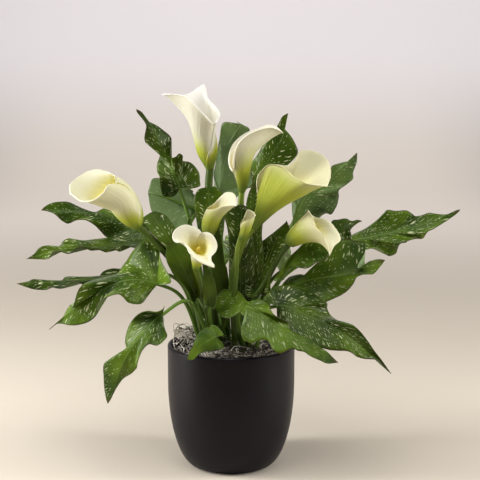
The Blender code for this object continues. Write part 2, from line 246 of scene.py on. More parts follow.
# %% [markdown]
# The camera looks slightly down from in front, through a long lens, so that the leaves at both sides are seen
# at the same scale. It could aim at the flowers, but hung by the pot's own size it stays right if the pot
# changes. Two tall window lamps draw soft upright highlights on the glaze, a broad one above lights leaves
# and flowers, and one behind the plant washes the wall. The world stays dim, so that the glaze stays black.

# %% Camera and lamps
POT_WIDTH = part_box("pot")[1].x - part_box("pot")[0].x
POT_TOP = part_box("pot")[1].z
LENS = 97.7
CAMERA_PLACE = (0.14 * POT_WIDTH / 2, -1.65, POT_TOP + 0.411)
CAMERA_DIP = 9.47
ROOM_LIGHT = 0.10
ROOM_SEEN = 0.55
# name: where the lamp stands, what it faces, its width, height and power
LAMPS = {
    "left window": ((-1.35, -0.1, 0.7), (0, 0, 0.2), 0.32, 1.3, 31),
    "right window": ((1.35, -0.2, 0.7), (0, 0, 0.2), 0.24, 1.3, 19),
    "ceiling": ((-0.2, -0.7, 2.0), (0, 0, 0.3), 1.6, 1.2, 24),
    "wall wash": ((0, 1.9, 1.8), (0, 3.5, 0.5), 3.6, 0.5, 13),
}


def build_camera():
    data = bpy.data.cameras.new("camera")
    data.lens = LENS
    data.clip_end = 20
    camera = new_object("camera", data)
    camera.location = CAMERA_PLACE
    camera.rotation_euler = (math.radians(90 - CAMERA_DIP), 0, 0)
    bpy.context.scene.camera = camera


def soft_lamp(name, place, aim, width, height, power):
    data = bpy.data.lights.new(name, "AREA")
    data.shape = "RECTANGLE"
    data.size = width
    data.size_y = height
    data.energy = power
    lamp = new_object(name, data)
    lamp.location = place
    way = [a - b for a, b in zip(aim, place)]
    flat = math.hypot(way[0], way[1])
    lamp.rotation_euler = (math.atan2(flat, -way[2]), 0, math.atan2(-way[0], way[1]))


def build_world():
    """A dim warm room that looks brighter than it shines."""
    world = bpy.data.worlds.new("studio")
    world.use_nodes = True
    background = world.node_tree.nodes["Background"]
    background.inputs["Color"].default_value = (1.0, 0.98, 0.95, 1)
    net = Net(world.node_tree)
    seen = net.node("ShaderNodeLightPath", out="Is Camera Ray")
    net.plug(background.inputs["Strength"], ROOM_LIGHT + ROOM_SEEN * seen)
    bpy.context.scene.world = world


build_camera()
build_world()
for lamp_name, lamp_row in LAMPS.items():
    soft_lamp(lamp_name, *lamp_row)
bpy.context.scene.view_settings.view_transform = "Standard"
print(len(LAMPS), "lamps; pot is", round(POT_WIDTH / MM), "mm wide and", round(POT_TOP / MM), "mm tall")

# %% [markdown]
# ## Helpers for growing things
# A stalk, a midrib and a flower stem all follow a smooth line through a few given points. A Catmull-Rom
# curve passes through every point, which a B-spline would not, so the points can be read as places on the
# plant. What belongs to a line, such as the way a blade looks, is read at a distance along it.

# %% Smooth lines
def smooth_path(points, steps):
    """A Catmull-Rom curve through the points, with this many steps in each span."""
    points = np.asarray(points, float)
    ends = np.vstack([2 * points[0] - points[1], points, 2 * points[-1] - points[-2]])
    t = (np.arange(steps) / steps)[:, None]
    spans = []
    for a, b, c, d in zip(ends, ends[1:], ends[2:], ends[3:]):
        spans.append(0.5 * (2 * b + (c - a) * t + (2 * a - 5 * b + 4 * c - d) * t ** 2
                            + (3 * b - a - 3 * c + d) * t ** 3))
    return np.vstack(spans + [points[-1:]])


def unit(vectors):
    return vectors / np.maximum(np.linalg.norm(vectors, axis=-1, keepdims=True), 1e-12)


def lengths_along(path):
    return np.concatenate([[0], np.cumsum(np.linalg.norm(np.diff(path, axis=0), axis=1))])


def along_line(path, values, where):
    """Reads values, given at the points of a path, at these distances along it."""
    travelled = lengths_along(path)
    return np.stack([np.interp(where, travelled, column) for column in np.asarray(values).T], -1)


corner = smooth_path([(0, 0), (1, 0), (1, 1)], 8)
print("a corner of three points, 2 long, is", round(lengths_along(corner)[-1], 2), "long when smooth")

# %% [markdown]
# A shoot stands where part of the packed model has it: on one of three tubers, at a numbered place in a
# honeycomb round the tuber's middle.

# %% Where the shoots stand
SHOOT_PITCH = 9 * MM
SHOOT_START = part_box("tuber_left")[1].z
# A shoot rises straight between these heights above its foot, and bends only then.
SHOOT_STRAIGHT = (2 * MM, 25 * MM)


def shoot_foot(tuber, shoot):
    low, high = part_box("tuber_" + tuber)
    middle = np.array([(low.x + high.x) / 2, (low.y + high.y) / 2, SHOOT_START])
    if shoot == 0:
        return middle
    ring, turn = (math.sqrt(3), 60 * (shoot - 7) + 30) if shoot > 6 else (1, 60 * (shoot - 1))
    angle = math.radians(turn)
    return middle + SHOOT_PITCH * ring * np.array([math.cos(angle), math.sin(angle), 0])


def shoot_path(tuber, shoot, points, steps):
    foot = shoot_foot(tuber, shoot)
    upright = [foot + (0, 0, rise) for rise in SHOOT_STRAIGHT]
    return smooth_path(upright + [np.array(point) * MM for point in points], steps)


print("shoots stand", round(SHOOT_PITCH / MM), "mm apart and start", round(SHOOT_START / MM), "mm up")

# %% [markdown]
# ## From a few numbers to a piece
# Every piece goes the same way: a plain mesh of points, with numbers such as a radius stored on them, goes
# through a Geometry Nodes tree and comes out finished. A live modifier would do the same in the file, but the
# result is kept as a plain mesh, which rides on the plant's one body.

# %% Making pieces
def mesh_from(name, points, faces, edges=(), **attributes):
    """A mesh with its points' own numbers stored beside them; one number serves all points."""
    mesh = bpy.data.meshes.new(name)
    mesh.from_pydata(np.asarray(points).tolist(), edges, faces)
    for label, values in attributes.items():
        store = mesh.attributes.new(label, "FLOAT", "POINT")
        store.data.foreach_set("value", np.full(len(mesh.vertices), values, np.float32))
    mesh.shade_smooth()
    return mesh


def line_from(name, points, **attributes):
    """A mesh that is one line through the points."""
    return mesh_from(name, points, [], [(i, i + 1) for i in range(len(points) - 1)], **attributes)


def new_tree(name, sizes):
    """An empty Geometry Nodes tree with a geometry in and out and these named inputs."""
    tree = bpy.data.node_groups.new(name, "GeometryNodeTree")
    tree.interface.new_socket("Geometry", in_out="OUTPUT", socket_type="NodeSocketGeometry")
    tree.interface.new_socket("Geometry", in_out="INPUT", socket_type="NodeSocketGeometry")
    for label, kind in sizes.items():
        tree.interface.new_socket(label, in_out="INPUT", socket_type="NodeSocket" + kind)
    net = Net(tree)
    entry = tree.nodes.new("NodeGroupInput")
    return net, {socket.name: Wire(net, socket) for socket in entry.outputs if socket.name}


def close_tree(net, geometry, material):
    """Ends a tree in plain geometry with its finish, and returns the tree."""
    real = net.node("GeometryNodeRealizeInstances", {}, {"Geometry": geometry})
    painted = net.node("GeometryNodeSetMaterial", {}, {"Geometry": real, "Material": material})
    net.plug(net.tree.nodes.new("NodeGroupOutput").inputs[0], painted)
    return net.tree


def grow(tree, base, name, **values):
    """Runs a tree on a base mesh and returns the result as a plain mesh."""
    holder = new_object(name + "_base", base)
    modifier = holder.modifiers.new("Grow", "NODES")
    modifier.node_group = tree
    for item in tree.interface.items_tree:
        key = item.name.replace(" ", "_").lower()
        if item.in_out == "INPUT" and key in values:
            modifier[item.identifier] = values[key]
    bpy.context.view_layer.update()
    view = holder.evaluated_get(bpy.context.evaluated_depsgraph_get())
    mesh = bpy.data.meshes.new_from_object(view)
    mesh.name = name
    bpy.data.objects.remove(holder)
    return mesh


def place_piece(name, mesh, slot, *nodes):
    """Puts a finished mesh in the scene, riding on the plant's one body in place of CAD nodes."""
    item = new_object(name, mesh)
    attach(item, "root")
    if nodes:
        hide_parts(*nodes)


print("packed solids to dress:", len(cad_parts))

# %% [markdown]
# ## The pot
# The real pot is slip-cast ceramic: a straight-sided cup that rounds in to a narrower foot, with a thin soft
# lip and a satin black glaze. It could be a stack of scaled cylinders, but a potter would call it a profile
# spun round an axis, so a tree does just that: it sweeps the profile round a circle. The profile comes from
# the same superellipse as the CAD pot, with many more points.

# %% Pot
POT_RADIUS = POT_WIDTH / 2
POT_FOOT_RADIUS = 50 * MM
POT_BELLY_HEIGHT = 0.7 * POT_TOP
POT_WALL = 5 * MM
POT_FLOOR = 7 * MM
POT_SIDES = 128
BELLY_SHARPNESS = 2.1
BELLY_FULLNESS = 0.55
# The profile's rows crowd towards the foot, where the wall rounds in.
PROFILE_ROWS = 40
FOOT_CROWDING = 1.6
FLOOR_CORNER = 4 * MM
# The foot is a ring this wide, and inside it the underside is hollowed a little.
FOOT_RING = 3 * MM
FOOT_HOLLOW = 5 * MM
FOOT_HOLLOW_DEPTH = 1.2 * MM
# The profile holds the radii, so the circle that it's swept round is all but a point.
AXIS_RADIUS = 1e-6
POT_WELD = 0.01 * MM


def pot_radius(height):
    fall = np.clip((POT_BELLY_HEIGHT - height) / POT_BELLY_HEIGHT, 0, 1)
    return POT_FOOT_RADIUS + (POT_RADIUS - POT_FOOT_RADIUS) * (1 - fall ** BELLY_SHARPNESS) ** BELLY_FULLNESS


def pot_profile():
    """Radius and height from the middle of the floor, up inside, over the lip, down outside to the foot."""
    lip = POT_WALL / 2
    rise = np.linspace(0, 1, PROFILE_ROWS) ** FOOT_CROWDING * (POT_TOP - lip)
    outside = np.stack([pot_radius(rise), rise], -1)
    inside = outside[rise > POT_FLOOR] - (POT_WALL, 0)
    turn = np.radians(np.linspace(165, 15, 9))
    rim = np.stack([POT_RADIUS - lip + lip * np.cos(turn), POT_TOP - lip + lip * np.sin(turn)], -1)
    floor = [(0, POT_FLOOR), (inside[0, 0] - FLOOR_CORNER, POT_FLOOR)]
    ring = (POT_FOOT_RADIUS - FOOT_RING, 0)
    hollow = [(POT_FOOT_RADIUS - FOOT_HOLLOW, FOOT_HOLLOW_DEPTH), (0, FOOT_HOLLOW_DEPTH)]
    return np.vstack([floor, inside, rim, outside[::-1], ring, hollow])


def turning_tree():
    net, given = new_tree("Turned body", {"Sides": "Int", "Finish": "Material"})
    profile = net.node("GeometryNodeMeshToCurve", {}, {"Mesh": given["Geometry"]})
    circle = net.node("GeometryNodeCurvePrimitiveCircle", {},
                      {"Resolution": given["Sides"], "Radius": AXIS_RADIUS})
    spun = net.node("GeometryNodeCurveToMesh", {}, {"Curve": circle, "Profile Curve": profile})
    sealed = net.node("GeometryNodeMergeByDistance", {}, {"Geometry": spun, "Distance": POT_WELD})
    return close_tree(net, sealed, given["Finish"])


def paint_glaze(net):
    fine = net.noise(260, 3)
    broad = net.noise(18, 2)
    return {
        "Base Color": net.mix(broad, (0.0020, 0.0007, 0.0032, 1), (0.0034, 0.0015, 0.0048, 1)),
        "Roughness": 0.38 + 0.05 * fine + 0.04 * broad,
        "Bump": (net.noise(90, 2), 0.00012),
    }


def build_pot():
    profile = pot_profile()
    flat = np.stack([profile[:, 0], -profile[:, 1], 0 * profile[:, 0]], -1)
    glaze = finish_material("satin_black_glaze", paint_glaze, Specular_IOR_Level=0.20)
    mesh = grow(turning_tree(), line_from("pot_profile", flat), "pot_body", sides=POT_SIDES, finish=glaze)
    place_piece("pot_body", mesh, "ceramic", "pot")
    print("pot:", len(mesh.polygons), "faces")


build_pot()

# %% [markdown]
# ## What stands inside the pot
# A nursery sells the plant in a thin plastic grow pot, which is dropped into the ceramic one. Its wall, the
# potting mix and the three tubers keep their CAD shapes, because the moss hides nearly all of them, and get
# finishes of their own: grained black plastic, crumbly peat with white perlite, and papery brown skin.

# %% Finishes of the hidden pieces
def paint_plastic(net):
    return {
        "Base Color": net.mix(net.noise(30), (0.014, 0.014, 0.014, 1), (0.026, 0.026, 0.026, 1)),
        "Roughness": 0.45 + 0.15 * net.noise(60),
        "Bump": (net.noise(400, 2), 0.0002),
    }


def paint_potting_mix(net):
    crumbs = net.noise(330, 6)
    dark = net.mix(crumbs, (0.012, 0.008, 0.005, 1), (0.075, 0.045, 0.026, 1))
    grains = net.node("ShaderNodeTexVoronoi", {}, {"Vector": net.here(), "Scale": 170})
    perlite = net.ease(grains, 0.2, 0.12)
    return {
        "Base Color": net.mix(perlite, dark, (0.6, 0.58, 0.52, 1)),
        "Bump": (crumbs, 0.002),
    }


def paint_tuber(net):
    bands = net.node("ShaderNodeTexWave", {"bands_direction": "Z"},
                     {"Vector": net.here(), "Scale": 60, "Distortion": 6, "Detail": 3})
    return {
        "Base Color": net.mix(bands, (0.10, 0.05, 0.022, 1), (0.26, 0.15, 0.075, 1)),
        "Bump": (bands, 0.001),
    }


def refinish(material, *nodes):
    for node in nodes:
        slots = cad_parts[node].data.materials
        slots.clear()
        slots.append(material)


refinish(finish_material("grow_pot_plastic", paint_plastic, roughness=0.5), "grow_pot")
refinish(finish_material("crumbly_peat", paint_potting_mix, roughness=0.95), "potting_mix")
refinish(finish_material("papery_skin", paint_tuber, roughness=0.7),
         "tuber_left", "tuber_right", "tuber_back")
print("new finishes on the grow pot, the potting mix and three tubers")

# %% [markdown]
# ## Spanish moss
# A florist hides the potting mix under a loose mat of grey Spanish moss: hundreds of thin curly strands. A
# noise bump on a ring would look like felt, so a tree grows real strands. It scatters short lines over a low
# bed with a mound at the left, turns each at random and bends it with a noise. Each strand draws a lot that
# shifts the noise, because strands that share one noise curl alike and look like combed wool. A thin
# three-sided skin is enough for something about a millimetre thick.

# %% The moss bed
MOSS_RADIUS = 73 * MM
MOSS_MIDDLE = 150 * MM
MOUND_PLACE = (-60 * MM, 6 * MM)
MOUND_HEIGHT = 20 * MM
MOUND_SPREAD = 20 * MM
BED_RINGS = 7
BED_SIDES = 40
BED_WAVE = 5 * MM
# How far the middle and the rings of the bed lie above its mean height.
BED_RISE = (4 * MM, 3 * MM)


def moss_bed():
    """A low wavy disc that the strands are scattered over."""
    rings, sides = BED_RINGS, BED_SIDES
    points = [(0, 0, MOSS_MIDDLE + BED_RISE[0])]
    for ring in range(1, rings + 1):
        for side in range(sides):
            radius = MOSS_RADIUS * ring / rings
            angle = 2 * math.pi * side / sides
            x, y = radius * math.cos(angle), radius * math.sin(angle)
            height = MOSS_MIDDLE + BED_WAVE * math.sin(3 * angle + ring) * ring / rings + BED_RISE[1]
            near = math.exp(-((x - MOUND_PLACE[0]) ** 2 + (y - MOUND_PLACE[1]) ** 2) / MOUND_SPREAD ** 2)
            points.append((x, y, height + MOUND_HEIGHT * near))
    faces = [(0, 1 + side, 1 + (side + 1) % sides) for side in range(sides)]
    for ring in range(rings - 1):
        for side in range(sides):
            a = 1 + ring * sides + side
            b = 1 + ring * sides + (side + 1) % sides
            faces.append((a, a + sides, b + sides, b))
    return mesh_from("moss_bed", points, faces)


moss_base = moss_bed()
print("moss bed:", len(moss_base.vertices), "points")

# %% The moss tree
STRAND_POINTS = 17
STRAND_TILT = 0.45
STRAND_STRETCH = (0.5, 1.2)
STRAND_SIDES = 3
TIP_TAPER = 0.6
# How far a strand's lot shifts the noises that bend it, how fine these are, and the small one's share.
LOT_SHIFT = (5, 9, 3)
WIDE_CURLS = 36
TIGHT_CURLS = 130
TIGHT_SHARE = 0.2
# The mean of both noises together, which is taken off so that strands bend both ways.
CURL_MEAN = (0.6, 0.6, 0.6)


def moss_tree():
    net, given = new_tree("Curly strands", {
        "Density": "Float", "Length": "Float", "Curl": "Float", "Thickness": "Float", "Limit": "Float",
        "Seed": "Int", "Finish": "Material"})
    spots = net.node("GeometryNodeDistributePointsOnFaces", {},
                     {"Mesh": given["Geometry"], "Density": given["Density"], "Seed": given["Seed"]})
    half = given["Length"] * 0.5
    line = net.node("GeometryNodeCurvePrimitiveLine", {},
                    {"Start": net.join(X=-1 * half), "End": net.join(X=half)})
    turn = net.node("FunctionNodeRandomValue", {"data_type": "FLOAT_VECTOR"},
                    {"Min": (-STRAND_TILT, -STRAND_TILT, 0), "Max": (STRAND_TILT, STRAND_TILT, 6.28),
                     "Seed": given["Seed"]})
    stretch = net.node("FunctionNodeRandomValue", {"data_type": "FLOAT"},
                       {"Min_001": STRAND_STRETCH[0], "Max_001": STRAND_STRETCH[1], "Seed": given["Seed"]},
                       "Value_001")
    spread = net.node("GeometryNodeInstanceOnPoints", {},
                      {"Points": spots, "Instance": line, "Rotation": turn, "Scale": stretch})
    lines = net.node("GeometryNodeRealizeInstances", {}, {"Geometry": spread})
    lot = net.node("FunctionNodeRandomValue", {"data_type": "FLOAT"},
                   {"Seed": given["Seed"] + 1}, "Value_001")
    lines = net.node("GeometryNodeStoreNamedAttribute", {"data_type": "FLOAT", "domain": "CURVE"},
                     {"Geometry": lines, "Name": "lot", "Value": lot})
    fine = net.node("GeometryNodeResampleCurve", {}, {"Curve": lines, "Count": STRAND_POINTS})
    shift = net.vector("SCALE", LOT_SHIFT, Scale=net.stored("lot"))
    place = net.vector("ADD", net.node("GeometryNodeInputPosition"), shift)
    wide = net.noise(WIDE_CURLS, 0.0, place, "Color")
    tight = net.noise(TIGHT_CURLS, 0.0, place, "Color")
    both = net.vector("ADD", wide, net.vector("SCALE", tight, Scale=TIGHT_SHARE))
    push = net.vector("SCALE", net.vector("SUBTRACT", both, CURL_MEAN), Scale=given["Curl"])
    bent = net.node("GeometryNodeSetPosition", {}, {"Geometry": fine, "Offset": push})
    x, y, z = net.split(net.node("GeometryNodeInputPosition"))
    keep = net.maths("MINIMUM", given["Limit"] / (x * x + y * y) ** 0.5, 1.0)
    inside = net.join(X=x * keep, Y=y * keep, Z=z)
    bent = net.node("GeometryNodeSetPosition", {}, {"Geometry": bent, "Position": inside})
    tip = net.node("GeometryNodeSplineParameter")
    taper = given["Thickness"] * (1 - (2 * tip - 1) ** 2 * TIP_TAPER)
    return close_tree(net, net.tube(bent, STRAND_SIDES, taper), given["Finish"])


MOSS_TREE = moss_tree()
print("moss tree:", len(MOSS_TREE.nodes), "nodes")

# %% [markdown]
# One colour with a noise would fade along each strand, so a strand's own lot makes the whole of it light or
# near black; the near-black strands are painted shade deep in the mat. On the mound at the left more of them
# are light, and further right fewer are, and those are darker: painted shade.

# %% Moss
MOSS_STRANDS = 560
MOSS_LENGTH = 36 * MM
MOSS_CURL = 46 * MM
MOSS_THICKNESS = 0.72 * MM
MOSS_LIMIT = 75 * MM
MOSS_SEED = 4


def paint_moss(net):
    patches = net.noise(45, 3)
    threads = net.noise(500, 2)
    x, _, _ = net.split(net.here())
    # Painted shade: right of the mound at the left fewer strands are light, and the light ones are darker.
    painted_shade = net.ease(x, -0.025, 0.0)
    dark_share = 0.3 + 0.35 * painted_shade
    light = net.mix(patches, (0.80, 0.71, 0.62, 1), (0.99, 0.93, 0.84, 1))
    light = net.mix(painted_shade, light, net.mix(patches, (0.45, 0.37, 0.31, 1), (0.90, 0.82, 0.72, 1)))
    # Near-black strands: painted shade deep in the mat.
    dark = net.mix(threads, (0.04, 0.030, 0.022, 1), (0.11, 0.085, 0.065, 1))
    return {"Base Color": net.mix(net.ease(net.attribute("lot") - dark_share, -0.12, 0.12), dark, light)}


def build_moss():
    dry_moss = finish_material("dry_moss", paint_moss, roughness=0.9)
    mesh = grow(MOSS_TREE, moss_base, "moss_strands", density=MOSS_STRANDS / (math.pi * MOSS_RADIUS ** 2),
                length=MOSS_LENGTH, curl=MOSS_CURL, thickness=MOSS_THICKNESS, limit=MOSS_LIMIT,
                seed=MOSS_SEED, finish=dry_moss)
    place_piece("moss_strands", mesh, "moss", "moss")
    print("moss:", len(mesh.polygons), "faces")


build_moss()

# %% [markdown]
# ## Stalks
# Leaf stalks and flower stems are round, fleshy and slightly tapered, and bend where they please. A curve
# object with a bevel would do for one. Here one tree serves all of them: it turns a line of points into a
# tube whose radius is stored on the points.

# %% The stalk tree
def stalk_tree():
    net, given = new_tree("Tapering stalk", {"Sides": "Int", "Finish": "Material"})
    line = net.node("GeometryNodeMeshToCurve", {}, {"Mesh": given["Geometry"]})
    return close_tree(net, net.tube(line, given["Sides"], net.stored("radius")), given["Finish"])


STALK_TREE = stalk_tree()


def grow_stalk(name, path, radius, sides, finish, **marks):
    """A stalk along the path; climb is 0 at its foot and 1 at its top, and marks are stored as they are."""
    base = line_from(name + "_line", path, radius=radius, climb=np.linspace(0, 1, len(path)), **marks)
    return grow(STALK_TREE, base, name, sides=sides, finish=finish)


print("stalk tree:", len(STALK_TREE.nodes), "nodes")

# %% [markdown]
# ## Leaves
# A calla leaf is an arrowhead: two rounded lobes behind the stalk, a long point in front, a strong midrib and
# side veins that leave it and sweep forward. Its edge is longer than its middle, so it ripples. A flat
# texture on a plane would miss the ripple. Here each half is a fan of veins laid out flat, from the midrib
# to the edge, and the flat leaf is then bent along a line through the air. The ripple grows towards the edge.
# Leaves differ in age, so young ones have few flecks or none. Some leaves are painted lighter or darker, and
# the lightest also greyer: painted light, shade and sheen where the lamps leave them too dark or too bright.

# %% The leaf table
# Four narrow leaves in the thick of the plant have no packed node of their own.
ADDED = ("sheath_left", "sheath_centre", "inner", "inner_left")
# How strong the flecks of a leaf are, and how much lighter or darker its green is painted, where that isn't
# 1.
FLECKS = {"sheath_left": 0, "sheath_centre": 0, "inner_left": 0, "front_small": 0, "front_right": 0.5,
          "top_rear": 0.9, "hanging_left": 0.65, "rear_left": 0.8, "arched_right": 0.6, "inner": 0.8,
          "right": 0.65}
# Painted light and shade: over 1 a leaf is painted lighter, over 1.4 also greyer as a painted sheen, under 1
# darker.
PAINTED_LEAF_LIGHT = {"upper_left": 0.75, "lower_right": 0.66, "right_top": 1.7, "lower_left": 1.15, "front_small": 1.5,
         "inner": 0.75, "inner_left": 0.6, "sheath_centre": 0.8, "arched_right": 1.2, "right": 1.12,
         "centre": 0.9, "top_rear": 2.1, "upper_right": 1.2, "left": 0.78, "left_long": 0.72,
         "sheath_left": 0.72, "curled_right": 0.6, "top_middle": 0.9}
# name: tuber, shoot, half width, face direction, bend of the stalk, midrib from neck to tip
LEAVES = {
    "upper_left": ("left", 8, 20, (0.2, -1, 0.2), (-45, 28, 275),
        [(-67, 38, 358), (-86, 44, 401), (-103, 44, 436), (-122, 34, 461)]),
    "rear_left": ("back", 4, 17, (0.2, 0.8, -0.5), (-36, 40, 276),
        [(-44, 54, 323), (-60, 56, 332), (-84, 58, 342), (-110, 58, 349)]),
    "far_left": ("back", 10, 17, (0, -0.6, 1), (-70, 50, 258),
        [(-121, 62, 296), (-164, 66, 316), (-206, 62, 323), (-253, 66, 325)]),
    "left": ("left", 3, 17, (0, -0.5, 1), (-64, 22, 255),
        [(-111, 22, 287), (-158, 24, 284), (-207, 20, 282), (-268, 28, 266)]),
    "left_long": ("left", 9, 15, (0, -0.3, 1), (-63, 2, 236),
        [(-104, 0, 254), (-159, 2, 247), (-212, -4, 242), (-277, 2, 238)]),
    "lower_left": ("left", 10, 32, (0, -1, 0.7), (-60, -28, 223),
        [(-92, -34, 245), (-134, -44, 251), (-182, -46, 228), (-230, -44, 188)]),
    "hanging_left": ("left", 11, 25, (-0.3, -1, 0.4), (-51, -46, 224),
        [(-85, -66, 213), (-105, -80, 196), (-129, -92, 164), (-153, -84, 103)]),
    "front_small": ("left", 12, 14, (-0.1, -1, 0.4), (-22, -62, 172),
        [(-18, -76, 187), (-28, -80, 182), (-40, -85, 176), (-54, -90, 161)]),
    "front_right": ("right", 5, 27, (0.2, -1, 0.8), (9, -40, 203),
        [(19, -58, 221), (46, -72, 210), (85, -90, 184), (132, -100, 160)]),
    "lower_right": ("right", 6, 27, (0.2, -1, 0.9), (25, -20, 198),
        [(60, -34, 217), (92, -50, 210), (149, -62, 182), (202, -60, 135)]),
    "right": ("right", 1, 31, (0, -1, 0.5), (35, 0, 204),
        [(68, -9, 231), (98, -17, 246), (147, -18, 254), (197, -14, 272)]),
    "upper_right": ("right", 2, 20, (0, -0.8, 1), (64, 30, 237),
        [(141, 40, 282), (186, 48, 292), (243, 50, 305), (303, 56, 327)]),
    "right_top": ("back", 12, 24, (0.1, -1, 0.3), (46, 46, 259),
        [(78, 58, 302), (99, 66, 344), (131, 66, 368), (166, 62, 402)]),
    "top_middle": ("back", 1, 24, (0, -1, 0.1), (12, 62, 285),
        [(33, 74, 356), (49, 80, 390), (67, 80, 420), (75, 74, 453)]),
    "top_rear": ("back", 0, 19, (0, -1, 0.2), (-12, 50, 274),
        [(-15, 60, 345), (-10, 68, 385), (1, 70, 415), (12, 62, 440)]),
    "centre_left": ("left", 5, 19, (0.5, -1, 0.2), (-34, -24, 214),
        [(-50, -22, 237), (-67, -20, 271), (-80, -16, 301), (-103, -6, 332)]),
    "curled_right": ("right", 7, 12, (0, -1, 0.3), (53, 14, 241),
        [(142, 12, 290), (144, 14, 301), (150, 18, 311), (170, 22, 317)]),
    "centre_right": ("right", 8, 16, (-0.4, -1, 0.2), (27, 4, 200),
        [(36, 2, 227), (44, 6, 255), (54, 10, 284), (63, 14, 301), (72, 18, 318)]),
    "centre_rear": ("back", 5, 16, (0, -1, 0.2), (-25, 30, 237),
        [(-25, 22, 292), (-26, 18, 316), (-28, 17, 340), (-30, 20, 362)]),
    "arched_right": ("right", 12, 12, (0, -0.8, 1), (50, -10, 218),
        [(64, -10, 248), (74, -16, 265), (89, -22, 279), (107, -26, 286), (127, -28, 284)]),
    "centre": ("right", 3, 12, (-0.2, -1, 0.2), (14, 8, 207),
        [(28, 8, 231), (27, 9, 265), (27, 12, 300), (28, 16, 335), (30, 20, 366)]),
    "back_left": ("back", 9, 27, (0, 0.8, 1), (-42, 60, 245),
        [(-48, 84, 274), (-60, 116, 282), (-72, 150, 268), (-80, 184, 230)]),
    "back": ("back", 3, 27, (0, 0.8, 1), (-2, 62, 231),
        [(3, 88, 262), (9, 122, 278), (14, 160, 269), (20, 196, 231)]),
    "back_right": ("back", 7, 25, (0, 0.8, 1), (28, 54, 226),
        [(44, 82, 252), (56, 114, 260), (68, 146, 249), (74, 176, 214)]),
    "back_low_left": ("back", 8, 19, (0, 0.9, 1), (-23, 62, 196),
        [(-26, 84, 210), (-35, 108, 211), (-41, 132, 189), (-45, 148, 154)]),
    "back_low_right": ("back", 2, 19, (0, 0.9, 1), (14, 58, 196),
        [(25, 82, 208), (31, 108, 208), (37, 132, 186), (40, 148, 154)]),
    "sheath_left": ("left", 7, 18, (0.1, -1, 0.3), (-36, -28, 205),
        [(-44, -32, 227), (-54, -37, 252), (-65, -38, 277), (-78, -34, 298)]),
    "sheath_centre": ("left", 6, 8, (0, -1, 0.1), (-27, -40, 205),
        [(-27, -44, 219), (-27, -47, 240), (-28, -48, 257), (-30, -48, 272)]),
    "inner": ("right", 4, 12, (0, -1, 0.2), (12, 2, 202),
        [(12, 2, 217), (12, 2, 254), (12, 2, 289), (13, 3, 319), (15, 3, 341)]),
    "inner_left": ("back", 11, 8, (0.3, -1, 0.2), (-12, 0, 201),
        [(-12, 2, 217), (-14, 4, 243), (-15, 5, 266), (-17, 6, 288), (-20, 7, 313)]),
}
